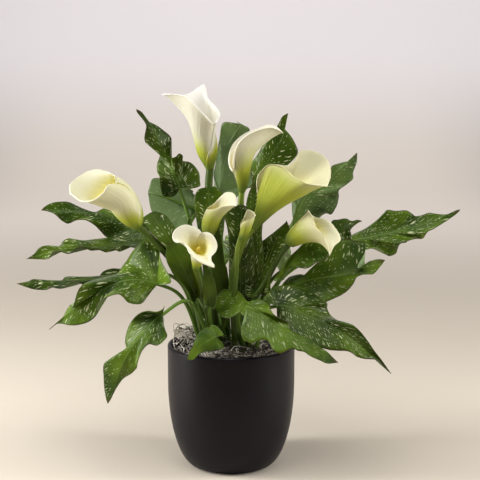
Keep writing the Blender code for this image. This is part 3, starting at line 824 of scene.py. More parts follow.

# %% [markdown]
# The edge of each leaf in front was given one by one: a list of points for each half, from the lobe to the
# tip, that say how far along the midrib the point lies (in hundredths), how far across and how far it is
# lifted.
# A leaf that nobody sees from in front gets an edge by rule: an arrow shape whose edge tips up and down.

# %% Shaped edges
# name: left half, right half
EDGES = {
    "upper_left": (
        [(-6, -9, -16), (-2, -24, -1), (10, -24, 1), (20, -21, 10), (28, -18, -8), (35, -13, -11),
         (39, -7, -14), (45, -2, -14), (51, -8, -11), (60, -16, -1), (66, -16, 1), (73, -11, 3), (80, -5, 5),
         (88, -3, 3), (97, -2, 0)],
        [(-4, 6, 20), (-5, 24, 9), (0, 28, 1), (8, 31, -1), (16, 29, -1), (22, 26, -8), (26, 20, -14),
         (30, 18, 12), (34, 15, 14), (32, 9, 17), (33, 3, 18), (40, 5, 17), (47, 10, 13), (54, 18, -9),
         (62, 14, -9), (70, 9, -9), (78, 3, -8), (84, 3, -6), (93, 3, -2)],
    ),
    "far_left": (
        [(-5, -24, 10), (10, -25, -5), (27, -19, -19), (38, -19, -12), (46, -21, -3), (54, -19, 2),
         (58, -17, 2), (66, -15, -2), (70, -10, -11), (74, -11, -12), (80, -8, -9), (86, -6, -1),
         (93, -3, 1)],
        [(-5, 23, -12), (5, 25, -5), (22, 20, -14), (32, 22, -8), (37, 22, -3), (42, 20, -7), (47, 17, -11),
         (56, 15, -10), (64, 13, -7), (71, 13, 3), (78, 9, 9), (89, 7, 8), (96, 4, 4)],
    ),
    "left": (
        [(-4, -22, 9), (7, -23, 8), (13, -21, 11), (19, -20, 12), (20, -23, 5), (27, -20, 10), (32, -21, 5),
         (41, -18, 9), (45, -18, 6), (49, -16, 9), (53, -14, 10), (58, -15, 6), (62, -15, 2), (66, -13, 4),
         (71, -10, 7), (75, -9, 6), (78, -9, 1), (82, -7, -4), (89, -3, -4)],
        [(-6, 24, -10), (-2, 26, -4), (15, 25, -4), (33, 23, -4), (41, 21, -4), (49, 19, -4), (57, 17, -1),
         (63, 15, 5), (68, 13, 4), (71, 13, -1), (75, 11, -1), (80, 6, 8), (87, 6, 8), (93, 2, 3)],
    ),
    "left_long": (
        [(-6, -23, 7), (0, -24, 2), (20, -23, 0), (38, -21, 0), (50, -18, 2), (54, -16, 7), (60, -15, 4),
         (64, -14, -2), (69, -13, -2), (74, -11, 0), (77, -6, -7), (84, -4, -8), (90, -3, -6)],
        [(-6, 23, -7), (0, 24, -3), (12, 23, -4), (24, 21, -7), (26, 22, -3), (29, 22, 0), (35, 21, -2),
         (39, 19, -8), (45, 18, -7), (55, 16, -4), (60, 15, -1), (65, 14, -1), (67, 13, -4), (71, 11, -4),
         (81, 8, 0), (88, 3, 4), (92, 3, 1)],
    ),
    "lower_left": (
        [(3, 2, -24), (4, -10, -20), (9, -25, -11), (19, -34, 1), (28, -33, 6), (31, -29, 16), (34, -24, 20),
         (42, -21, 19), (50, -20, 17), (55, -22, 12), (59, -26, 1), (68, -27, -1), (77, -22, -1),
         (84, -14, 0), (92, 0, -3)],
        [(-5, -6, 32), (3, 17, 24), (5, 31, 16), (4, 49, 2), (6, 56, 2), (11, 58, -2), (15, 52, -2),
         (18, 46, -11), (22, 38, -24), (26, 33, -27), (30, 27, -28), (35, 24, -28), (45, 24, -25),
         (51, 26, -21), (56, 11, 18), (62, 6, 18), (67, -2, 18), (71, -5, 16), (77, 12, -12), (84, 6, -9),
         (90, 1, -6), (93, 2, -4)],
    ),
    "hanging_left": (
        [(-3, 6, -20), (-1, -3, -19), (3, -8, -18), (11, -22, -8), (19, -28, 1), (28, -27, 7), (32, -21, 15),
         (39, -19, 15), (47, -20, 11), (56, -17, -4), (64, -13, -6), (74, -4, -8), (85, -1, -5),
         (95, -1, -1)],
        [(-2, 2, 17), (1, -1, 17), (7, 0, 17), (10, 10, 13), (15, 18, 8), (23, 24, -5), (33, 21, -10),
         (41, 16, -13), (47, 9, -14), (52, 10, -13), (60, 15, -6), (67, 23, 1), (79, 17, 1), (88, 12, 0),
         (96, 5, 0)],
    ),
    "front_small": (
        [(-5, -11, 11), (-2, -16, 7), (15, -16, -1), (39, -10, -5), (56, -8, -5), (72, -6, -3), (90, -6, 0)],
        [(-4, 3, 9), (1, 15, -3), (3, 14, -4), (14, 16, -1), (36, 15, 1), (50, 10, 1), (64, 5, 4),
         (83, 3, 2)],
    ),
    "front_right": (
        [(-5, 12, 0), (-9, 17, 0), (-16, 20, 0), (-27, 14, 0), (-36, 4, 0), (-40, -6, 0), (-40, -16, 0),
         (-36, -25, 0), (-26, -24, 0), (-18, -23, 0), (-11, -17, 0), (-1, -8, 0), (4, -12, 0), (8, -16, 1),
         (17, -16, 1), (22, -9, 6), (30, -4, 8), (40, -14, -4), (46, -10, -8), (54, -7, -8), (59, -10, -5),
         (70, -11, 0), (78, -8, 0), (87, -6, 0), (95, -2, 0)],
        [(-2, 10, 0), (6, 16, 0), (10, 20, 1), (10, 29, 1), (12, 35, 1), (16, 41, 1), (22, 43, -1),
         (30, 40, -1), (32, 34, -1), (37, 26, -1), (43, 26, -1), (48, 31, 1), (54, 30, 1), (57, 21, 1),
         (60, 13, 0), (64, 12, 0), (69, 9, 0), (75, 10, 0), (85, 9, 0), (92, 8, 0)],
    ),
    "lower_right": (
        [(-5, 4, 21), (-4, -22, 8), (12, -35, -1), (31, -31, -1), (34, -29, -12), (39, -24, -16),
         (47, -22, -15), (56, -13, 8), (67, -10, 7), (79, -5, 5), (91, -3, 2)],
        [(-5, -8, -23), (-2, 12, -16), (20, 33, -1), (35, 35, 1), (47, 33, 1), (55, 27, 1), (63, 21, 7),
         (70, 18, 4), (75, 15, 7), (84, 3, 7), (90, 1, 4)],
    ),
    "right": (
        [(1, 0, 19), (4, -16, -17), (10, -16, -17), (17, -15, -18), (24, -11, -18), (30, -13, -17),
         (36, -18, -14), (40, -22, -3), (46, -32, -1), (60, -45, 2), (74, -44, 1), (82, -37, 1), (89, -30, 1),
         (85, -19, 1), (74, -6, 6), (73, 0, 9), (80, -3, 6), (87, -6, 0), (95, -4, 0)],
        [(-8, -3, -23), (2, -4, -23), (12, -2, -23), (19, 7, -21), (29, 23, -10), (37, 32, 1), (46, 29, 1),
         (57, 23, 1), (65, 16, 10), (69, 10, 12), (77, 9, 8), (85, 11, 0), (94, 5, 0)],
    ),
    "upper_right": (
        [(-4, -23, -16), (4, -25, -13), (19, -22, -16), (25, -24, -11), (31, -25, -6), (37, -24, 5),
         (41, -21, 17), (44, -24, 19), (50, -21, 17), (59, -19, 15), (63, -14, 11), (66, -16, 1),
         (71, -13, 2), (76, -10, 6), (80, -10, 1), (85, -7, -3), (91, -3, -4), (97, -2, -1)],
        [(-4, 24, 15), (8, 27, 8), (21, 26, 8), (26, 25, 8), (31, 25, 0), (35, 20, -16), (38, 23, -19),
         (43, 22, -18), (45, 19, -13), (47, 22, 0), (52, 21, -1), (53, 20, 0), (59, 18, -2), (65, 14, -11),
         (67, 15, -4), (70, 14, 0), (74, 12, -2), (82, 9, -2), (89, 5, -4), (97, 2, -2)],
    ),
    "right_top": (
        [(-6, -8, 14), (-3, -6, 14), (1, -3, 15), (9, -3, 14), (22, -6, 14), (27, -13, -10), (33, -12, -10),
         (41, -9, -11), (54, -9, 8), (69, -8, 5), (74, -10, 0), (82, -5, -3), (91, 2, -2)],
        [(-8, 8, -26), (-3, 22, -21), (8, 27, -18), (21, 31, -13), (44, 41, 1), (54, 37, 1), (60, 28, 1),
         (64, 20, 7), (73, 21, -1), (80, 21, -1), (84, 15, -1), (93, 9, 0)],
    ),
    "top_middle": (
        [(-5, -10, 15), (10, -20, -6), (33, -16, -8), (48, -16, -4), (65, -16, -1), (76, -12, 0),
         (83, -10, 0), (90, -8, 0), (95, -6, 0)],
        [(-5, 10, -20), (12, 22, 12), (31, 2, 19), (33, 14, 15), (41, 24, 1), (53, 28, -1), (62, 28, -1),
         (67, 21, -1), (73, 10, -6), (78, 0, -8), (82, -5, -7), (88, -6, -4), (95, -3, -3)],
    ),
    "top_rear": (
        [(-5, -12, 17), (0, -20, -12), (13, -9, -18), (26, -10, 17), (40, -10, 15), (56, -13, 9),
         (65, -16, 1), (77, -19, 1), (87, -22, -1), (93, -18, -1)],
        [(-5, 12, 21), (0, 24, 13), (19, 41, -1), (36, 39, -1), (61, 33, -1), (79, 23, -1), (92, 18, -1),
         (100, 12, 0), (100, 4, 0), (99, -6, -4)],
    ),
    "centre_left": (
        [(-8, -15, 15), (-2, -14, 16), (19, -16, 14), (36, -5, -12), (52, -5, -10), (68, -13, 0),
         (84, -16, 1), (98, -15, 0)],
        [(-8, 14, -14), (-10, 14, -14), (8, 20, -8), (26, 20, -1), (46, 19, 1), (61, 16, 1), (76, 15, 1),
         (87, 15, 0), (97, 8, 0)],
    ),
    "rear_left": (
        [(-6, -11, 17), (9, -10, 19), (17, -24, 12), (45, -24, 1), (65, -25, -1), (85, -24, -1),
         (100, -19, -1)],
        [(-6, 13, -23), (-25, 27, -14), (25, 39, 1), (39, 37, 1), (63, 32, 1), (85, 24, 1)],
    ),
    "centre_right": (
        [(-6, 2, 18), (-6, -12, 13), (16, -20, 5), (38, -25, -1), (57, -21, -1), (67, -14, 0), (82, -8, -3),
         (96, -1, -1)],
        [(-6, -1, -16), (5, 19, 12), (19, 15, 14), (36, 14, 13), (51, 17, 6), (65, 19, -1), (80, 16, -1),
         (93, 8, 0)],
    ),
    "inner": (
        [(-5, -8, 7), (0, -17, -1), (16, -14, 0), (34, -15, 0), (47, -14, 0), (63, -15, 0), (77, -18, 1),
         (89, -23, -1), (97, -21, -1)],
        [(-5, 8, -9), (0, 18, -1), (17, 19, -1), (34, 19, 1), (53, 18, 1), (72, 15, 0), (90, 10, 0),
         (98, 5, 0)],
    ),
    "inner_left": (
        [(-5, -7, 6), (1, -13, 0), (25, -11, 0), (49, -9, 0), (72, -6, 0), (92, -3, 0)],
        [(-5, 7, -6), (-1, 10, 0), (20, 11, 0), (40, 10, 0), (50, 7, 0), (72, 6, 0), (91, 5, 0), (100, 3, 0)],
    ),
    "centre": (
        [(-6, -3, 10), (-4, -6, 9), (-5, -16, 1), (17, -17, -1), (33, -14, 0), (51, -10, -4), (65, -8, 0),
         (79, -9, 0), (92, -6, 0)],
        [(-6, 3, -11), (-4, 6, -10), (2, 11, -7), (17, 15, 1), (37, 15, 0), (51, 13, 0), (66, 14, 0),
         (80, 13, 0), (92, 8, 0)],
    ),
    "sheath_left": (
        [(-3, -10, 14), (15, -9, 14), (30, -10, 12), (43, -13, 8), (56, -15, 0), (75, -15, 0), (89, -10, 0)],
        [(-3, 6, 14), (6, 5, 14), (20, 9, 12), (37, 12, 9), (54, 14, 2), (68, 16, -1), (82, 15, -1)],
    ),
    "sheath_centre": (
        [(-3, -5, 6), (4, -7, 4), (35, -8, -1), (65, -7, 0), (87, -4, 0)],
        [(-3, 5, 6), (5, 8, 3), (35, 9, 0), (61, 7, 0), (84, 4, 0)],
    ),
    "arched_right": (
        [(-6, 0, 10), (-2, -3, 9), (16, 1, 9), (34, -4, 6), (48, -12, 0), (61, -17, 1), (72, -21, 1),
         (83, -23, -1), (96, -13, 0)],
        [(-6, -3, -15), (7, -4, -14), (25, -5, -13), (38, 2, -10), (51, 21, -1), (65, 25, 1), (79, 20, 1),
         (92, 12, 0)],
    ),
    "curled_right": (
        [(-5, -5, 11), (-6, -10, 9), (39, -15, 1), (49, -19, -1), (55, -13, 0), (66, -9, -2), (76, -4, -4),
         (91, -3, -1)],
        [(-5, 5, -8), (18, 8, -6), (36, 11, 0), (60, 7, 3), (73, 4, 3), (88, 1, 2)],
    ),
    "centre_rear": (
        [(-6, -12, 16), (8, -15, 14), (37, -18, 8), (60, -19, -1), (80, -19, -1), (96, -13, 0)],
        [(-6, 12, -16), (8, 15, -14), (37, 18, -8), (64, 21, 1), (83, 20, 1), (98, 10, 0)],
    ),
}
print(len(EDGES), "leaves of", len(LEAVES), "have a hand-shaped edge")

# %% [markdown]
# ### One flat half
# In a real half blade the side veins leave the midrib nearly along it and bow out to the edge. A plain fan
# from the midrib would meet the edge square on and bunch up in the lobes. Here each row of points starts low
# on the midrib and bows forward to its place on the edge, so rows lie as veins do.

# %% A flat half blade
LEAF_ROWS = 84
HALF_COLUMNS = 10
VEIN_SWEEP = 1.9
VEIN_BOW = 0.35
BOW_REACH = 0.3
RIPPLE_ONSET = 1.6
EDGE_STEPS = 8
# Every edge leaves the midrib just behind the neck and comes back to it at the tip.
EDGE_START = (-0.5, 0.4, 0)
EDGE_END = (100, 0, 0)
# How wide a ruled leaf is from neck to tip, and how far back and how wide its lobe is.
ARROW = (1.0, 0.98, 0.9, 0.76, 0.56, 0.3, 0.0)
LOBE_PLACES = (-8, -18, -15, -4)
LOBE_WIDTHS = (0.2, 0.5, 0.85, 1.02)


def even_steps(path, count):
    travelled = lengths_along(path)
    return along_line(path, path, np.linspace(0, travelled[-1], count + 1))


def ruled_edge(width, luck):
    """An arrow-shaped edge that tips up and down by turns, as (along, across, lift)."""
    forward = np.arange(6, 96, 7)
    places = np.concatenate([LOBE_PLACES, forward])
    spread = np.concatenate([LOBE_WIDTHS, np.interp(forward, np.linspace(0, 100, len(ARROW)), ARROW)])
    tip_up = np.radians(luck.uniform(10, 26, len(places)))
    swing = tip_up * np.sin(luck.uniform(0, 6) + places / luck.uniform(4.5, 6.5))
    return np.stack([places, spread * np.cos(swing) * width, spread * np.sin(swing) * width], -1)


def half_blade(edge, length):
    """Across, along and height of one half, laid out as rows of veins, with how far out each point is."""
    edge = np.array([EDGE_START] + [tuple(point) for point in edge] + [EDGE_END], float)
    edge = even_steps(smooth_path(edge * (length / 100, MM, MM), EDGE_STEPS), LEAF_ROWS)
    reach = np.linspace(0, 1, HALF_COLUMNS + 1)[None, :]
    far = edge[:, 0:1]
    root = length * np.clip(far / length, 0, 1) ** VEIN_SWEEP
    root = np.maximum.accumulate(root)
    bow = 1 + VEIN_BOW * np.clip(far / (BOW_REACH * length), 0, 1)
    across = edge[:, 1:2] * reach
    along = root + (far - root) * reach ** bow
    height = edge[:, 2:3] * reach ** RIPPLE_ONSET
    out = np.hypot(across, along - root)
    return across, along, height, out


print("a blade is a grid of", LEAF_ROWS + 1, "by", 2 * HALF_COLUMNS + 1, "points")

# %% [markdown]
# ### Bending a flat leaf, and giving it two faces
# A leaf blade is a sheet under a millimetre thick. Solidify could thicken it, but the two faces of a leaf
# differ in colour, so the skin is laid here: one copy of the grid for each face, the second marked as such,
# and a rim between them. The flowers' rolled sheets are closed in the same way.

# %% Bent and closed sheets
WELD = 0.02 * MM


def leaf_frame(path, face):
    """Directions ahead, to the side and out along a midrib whose upper face looks towards face."""
    ahead = unit(np.gradient(path, axis=0))
    side = unit(np.cross(ahead, np.array(face, float)))
    return ahead, side, np.cross(side, ahead)


def bend_blade(across, along, height, path, frame_lines):
    """Carries a flat leaf onto its midrib; what lies behind the neck goes straight on."""
    ahead, side, normal = frame_lines
    where = np.clip(along, 0, None).ravel()
    spine = along_line(path, path, where)
    behind = np.minimum(along, 0).ravel()[:, None]
    points = (spine + behind * ahead[0] + across.ravel()[:, None] * along_line(path, side, where)
              + height.ravel()[:, None] * along_line(path, normal, where))
    return points.reshape(*across.shape, 3)


def sheet_normals(sheet, spare):
    """Which way each point of a sheet looks; spare serves where the grid has no width."""
    normal = np.cross(np.gradient(sheet, axis=1), np.gradient(sheet, axis=0))
    flat = np.linalg.norm(normal, axis=-1, keepdims=True) < 1e-12
    return unit(np.where(flat, spare, normal))


def two_faced(rows, columns):
    """Faces of a closed skin over two copies of a grid of points, with a rim between them."""
    count = rows * columns
    faces = []
    for row in range(rows - 1):
        for column in range(columns - 1):
            a = row * columns + column
            quad = (a, a + 1, a + columns + 1, a + columns)
            faces.append(quad)
            faces.append(tuple(count + corner for corner in quad[::-1]))
    rim = [(row * columns, (row + 1) * columns) for row in range(rows - 1)]
    rim += [((row + 2) * columns - 1, (row + 1) * columns - 1) for row in range(rows - 1)]
    rim += [(column + 1, column) for column in range(columns - 1)]
    rim += [(count - columns + column, count - columns + column + 1) for column in range(columns - 1)]
    return faces + [(a, b, count + b, count + a) for a, b in rim]


def closed_skin(name, sheet, normal, thickness, back, **labels):
    """A sheet's two faces and its rim. The label named by back is 1 on the face behind the normals."""
    rows, columns = sheet.shape[:2]
    shift = normal * thickness / 2
    points = np.concatenate([(sheet + shift).reshape(-1, 3), (sheet - shift).reshape(-1, 3)])
    marks = {label: np.tile(np.broadcast_to(values, (rows, columns)).ravel(), 2)
             for label, values in labels.items()}
    marks[back] = np.repeat([0.0, 1.0], rows * columns)
    return mesh_from(name, points, two_faced(rows, columns), **marks)


def join_meshes(name, *meshes):
    """One mesh from several, with doubled points welded and its faces turned outwards."""
    build = bmesh.new()
    for mesh in meshes:
        build.from_mesh(mesh)
    bmesh.ops.remove_doubles(build, verts=build.verts, dist=WELD)
    bmesh.ops.recalc_face_normals(build, faces=build.faces)
    joined = bpy.data.meshes.new(name)
    build.to_mesh(joined)
    build.free()
    joined.shade_smooth()
    return joined


print("a blade's skin has", len(two_faced(LEAF_ROWS + 1, 2 * HALF_COLUMNS + 1)), "faces")

# %% [markdown]
# ### Leaf colour
# The upper face is deep green and glossy, with cream flecks that lie along the side veins as if brushed on.
# The edge is a thin dark red line at the tip and green behind, and the back is a paler, greyer green. The
# flecks could be painted on, but a rule covers every leaf: they're long cells of a Voronoi pattern, stretched
# along each vein, and how far along and out a point lies is stored on it. Only some cells bear a fleck.

# %% Leaf finish
def paint_leaf(net):
    reach = net.attribute("reach")
    under = net.attribute("under")
    stalk = net.attribute("stalk")
    along = net.attribute("along")
    out = net.attribute("out")
    tipward = net.attribute("tipward")
    tone = net.attribute("tone")
    place = net.join(X=out, Y=along)

    def flecks(length, width, low, high):
        """Marks of this length and width in millimetres, in the cells whose lot is over low."""
        stretched = net.vector("MULTIPLY", place, (1 / length, 1 / width, 1))
        cell = net.node("ShaderNodeTexVoronoi", {"voronoi_dimensions": "2D"},
                        {"Vector": stretched, "Scale": 1.0})
        lot = net.node("ShaderNodeSeparateColor", {}, {"Color": cell.also("Color")})
        size = 0.31 * net.ease(lot, low, high)
        return net.ease(cell, size, 0.55 * size)

    patch = net.noise(14, 2)
    marks = flecks(14, 2.2, 0.55, 0.98) * net.ease(patch, 0.32, 0.45)
    dots = flecks(5.5, 1.7, 0.52, 1.0)
    blots = flecks(17, 5.5, 0.95, 0.975)
    clear = net.ease(reach, 0.04, 0.16) * net.ease(reach, 0.97, 0.9)
    fleck = net.clamp((marks + 0.75 * dots + blots) * clear)
    veins = net.node("ShaderNodeTexWave", {"bands_direction": "Y"},
                     {"Vector": place, "Scale": 0.045, "Distortion": 0.6})
    broad = net.ease(net.noise(22, 3), 0.3, 0.7)
    deep = net.mix(broad, (0.020, 0.046, 0.002, 1), (0.092, 0.155, 0.008, 1))
    deep = net.mix(0.10 * net.ease(veins, 0.75, 1.0), deep, (0.12, 0.18, 0.03, 1))
    midrib = net.ease(reach, 0.05, 0.0)
    deep = net.mix(0.7 * midrib, deep, (0.15, 0.22, 0.05, 1))
    # Painted light and shade: the leaf's green and back are scaled lighter or darker.
    strength = net.maths("MINIMUM", tone, 1.4)
    deep = net.vector("SCALE", deep, Scale=strength)
    flecked = net.mix(fleck * net.attribute("flecked"), deep, (0.56, 0.60, 0.33, 1))
    back = net.mix(patch, (0.11, 0.175, 0.06, 1), (0.19, 0.265, 0.10, 1))
    back = net.mix(0.4 * fleck, back, (0.45, 0.5, 0.33, 1))
    colour = net.mix(under, flecked, net.vector("SCALE", back, Scale=strength))
    # The most lightened leaves turn greyer: painted sheen.
    colour = net.mix(0.6 * net.ease(tone, 1.4, 2.0), colour, (0.16, 0.225, 0.11, 1))
    edge = net.ease(reach, 0.965, 0.995)
    red = net.ease(tipward + 0.5 * patch, 0.55, 0.85)
    rim = net.mix(red, (0.13, 0.17, 0.045, 1), (0.045, 0.018, 0.012, 1))
    colour = net.mix(0.8 * edge, colour, rim)
    colour = net.mix(0.75 * net.ease(tipward, 0.955, 0.995), colour, (0.055, 0.028, 0.014, 1))
    green = net.mix(net.noise(60, 3), (0.07, 0.14, 0.015, 1), (0.14, 0.23, 0.035, 1))
    return {
        "Base Color": net.mix(stalk, colour, green),
        "Roughness": 0.34 + 0.14 * under + 0.1 * net.noise(50),
        "Bump": (0.35 * veins + 0.5 * net.noise(240, 2), 0.0004),
    }


LEAF_GREEN = finish_material("flecked_leaf", paint_leaf, Specular_IOR_Level=0.16)
print("leaf finish:", len(LEAF_GREEN.node_tree.nodes), "nodes")

# %% [markdown]
# ### Growing a leaf
# Stalk and blade are grown as one on the plant: the stalk runs on as the midrib, a rib that stands out of the
# back and thins away to the tip. A stalk that ends at the neck would show a joint there, so the stalk's tube
# follows the whole midrib, sunk just under the blade, and the two are joined in one mesh.

# %% Growing a leaf
LEAF_THICKNESS = 0.7 * MM
STALK_SIDES = 10
STALK_STEPS = 14
# The stalk's radius at its foot, at the neck and at the leaf's tip.
STALK_RADII = (3.2 * MM, 2.1 * MM, 0.35 * MM)
RIB_DEPTH = 0.8
NECK_STEPS = 8
# How far a leaf's flecks are stretched along it, and shifted from one leaf to the next.
PATTERN_STRETCH = 1.15
PATTERN_SHIFT = 97


def blade_mesh(order, name, width, face, spine):
    """The blade on its midrib, and which way the midrib's upper face looks."""
    length = lengths_along(spine)[-1]
    frame_lines = leaf_frame(spine, face)
    luck = np.random.default_rng(order)
    edges = EDGES.get(name) or [ruled_edge(half * width, luck) for half in (-1, 1)]
    left, right = [half_blade(edge, length) for edge in edges]
    across, along, height, out = [np.concatenate([a[:, :0:-1], b], axis=1) for a, b in zip(left, right)]
    sheet = bend_blade(across, along, height, spine, frame_lines)
    up = along_line(spine, frame_lines[2], np.clip(along, 0, None).ravel()).reshape(sheet.shape)
    normal = sheet_normals(sheet, up)
    normal *= np.sign((normal * up).sum(-1, keepdims=True).mean())
    tipward = np.linspace(0, 1, LEAF_ROWS + 1)[:, None]
    blade = closed_skin(
        name + "_blade", sheet, normal, LEAF_THICKNESS, "under", stalk=0, out=out / MM, tipward=tipward,
        reach=np.abs(np.linspace(-1, 1, 2 * HALF_COLUMNS + 1)),
        along=tipward * length * PATTERN_STRETCH / MM + PATTERN_SHIFT * order,
        flecked=FLECKS.get(name, 1.0), tone=PAINTED_LEAF_LIGHT.get(name, 1.0))
    return blade, frame_lines[2]


def build_leaf(order, name, row):
    tuber, shoot, width, face, bend, midrib = row
    path = shoot_path(tuber, shoot, [bend] + midrib, STALK_STEPS)
    neck = np.argmin(np.linalg.norm(path - np.array(midrib[0]) * MM, axis=1))
    blade, up = blade_mesh(order, name, width, face, path[neck:])
    climb = lengths_along(path)
    taper = np.interp(climb, [0, climb[neck], climb[-1]], STALK_RADII)
    sink = np.zeros_like(path)
    sink[neck:] = -up * taper[neck:, None] * RIB_DEPTH
    step = np.arange(len(path))[:, None]
    ease = np.clip(step - neck + NECK_STEPS, 0, NECK_STEPS) / NECK_STEPS
    path = path + np.where(step < neck, ease * sink[neck], sink)
    stalk = grow_stalk(name + "_stalk", path, taper, STALK_SIDES, LEAF_GREEN, stalk=1)
    leaf = join_meshes(name, blade, stalk)
    leaf.materials.append(LEAF_GREEN)
    return leaf


face_count = 0
for order, (name, row) in enumerate(LEAVES.items()):
    leaf = build_leaf(order, name, row)
    place_piece(name + "_leaf", leaf, "leaf", *([] if name in ADDED else ["leaf_" + name]))
    face_count += len(leaf.polygons)
print(len(LEAVES), "leaves:", face_count, "faces")

# %% [markdown]
# ## Flowers
# What looks like a petal is one leaf rolled into a funnel. Its two edges cross low down on one side, and its
# tip stands up and curls back. A lofted cone has the same mouth all round, but a real one is lopsided and
# each differs. So each flower is a table: where its stem runs, how wide its throat is from level to level,
# and the edge of its mouth as a line of points in the air.

# %% The flower table
# number: tuber, shoot, stem radius, stem points, how late the funnel opens, green, cream, turn of the seam,
# how far the yellow (partly painted light) reaches inside, how strong the painted highlight at the stem's top
# is
FLOWERS = {
    1: ("left", 2, 5.0, [(-24, 10, 228), (-27, 24, 292), (-29, 27, 357), (-27, 25, 387)],
        4.0, 0.62, 0.0, 110, 0.5, 0.0),
    2: ("right", 9, 3.8, [(6, 10, 255), (12, 12, 307), (13, 10, 346), (14, 10, 358)],
        4.2, 0.85, 0.35, 30, 0.7, 1.0),
    3: ("right", 10, 4.6, [(2, -18, 225), (3, -18, 251), (7, -18, 272), (15, -17, 295), (28, -15, 315)],
        2.4, 1.25, 1.0, 0, 0.85, 1.0),
    4: ("left", 4, 4.2, [(-50, -10, 232), (-78, -12, 274), (-104, -18, 304), (-116, -24, 317)],
        2.4, 0.45, 0.75, 70, 0.85, 0.2),
    5: ("left", 6, 3.4, [(-34, -38, 225), (-40, -42, 252), (-45, -45, 268)],
        6.5, 0.5, 0.5, 0, 1.05, 0.5),
    6: ("left", 0, 3.2, [(-24, -12, 213), (-32, -16, 253), (-33, -22, 293), (-32, -25, 305)],
        3.5, 0.95, 0.75, 0, 0.85, 0.2),
    7: ("right", 0, 3.4, [(27, -2, 211), (45, -4, 242), (62, -14, 277), (74, -24, 294)],
        3.0, 0.8, 0.9, 0, 0.85, 0.0),
    8: ("left", 1, 2.8, [(1, -28, 217), (7, -30, 256), (8, -33, 288), (12, -35, 304)],
        2.0, 1.0, 1.0, 0, 0.6, 1.0),
}

# The throat above each stem, up to the middle of the mouth: places on its middle line with its radius there.
THROATS = {
    1: [(-28, 24, 391, 7.2), (-29, 23, 400, 11.2), (-31, 22, 409, 13.9), (-32, 21, 420, 14.3),
        (-36, 18, 433, 13.8), (-37, 13, 445, 16.6), (-47, 6, 472, 18.1)],
    2: [(15, 8, 371, 7.6), (14, 4, 383, 10.2), (13, 0, 395, 12.2), (13, -3, 407, 13.0), (17, -4, 417, 13.0),
        (26, -4, 428, 9.6)],
    3: [(33, -14, 320, 6.2), (38, -16, 329, 8.4), (43, -17, 338, 11.4), (49, -19, 349, 15.8),
        (56, -22, 360, 21.0), (74, -22, 378, 23.5)],
    4: [(-118, -25, 319, 8.8), (-122, -27, 327, 14.1), (-126, -29, 336, 17.7), (-130, -31, 346, 19.4),
        (-136, -33, 355, 20.3), (-171, -45, 371, 20.5)],
    5: [(-42, -49, 276, 7.0), (-41, -53, 284, 8.5), (-40, -59, 292, 8.9), (-39, -66, 299, 9.0),
        (-37, -72, 300, 9.6)],
    6: [(-29, -26, 308, 7.6), (-27, -27, 316, 10.3), (-25, -29, 327, 11.1), (-20, -31, 337, 10.8),
        (-12, -36, 347, 11.9)],
    7: [(74, -23, 295, 7.0), (78, -25, 300, 9.8), (85, -28, 307, 12.0), (93, -32, 315, 12.8),
        (103, -36, 324, 11.8), (112, -40, 330, 10.0)],
    8: [(18, -38, 312, 6.0), (18, -39, 318, 7.8), (20, -40, 323, 8.5), (21, -40, 329, 8.2)],
}

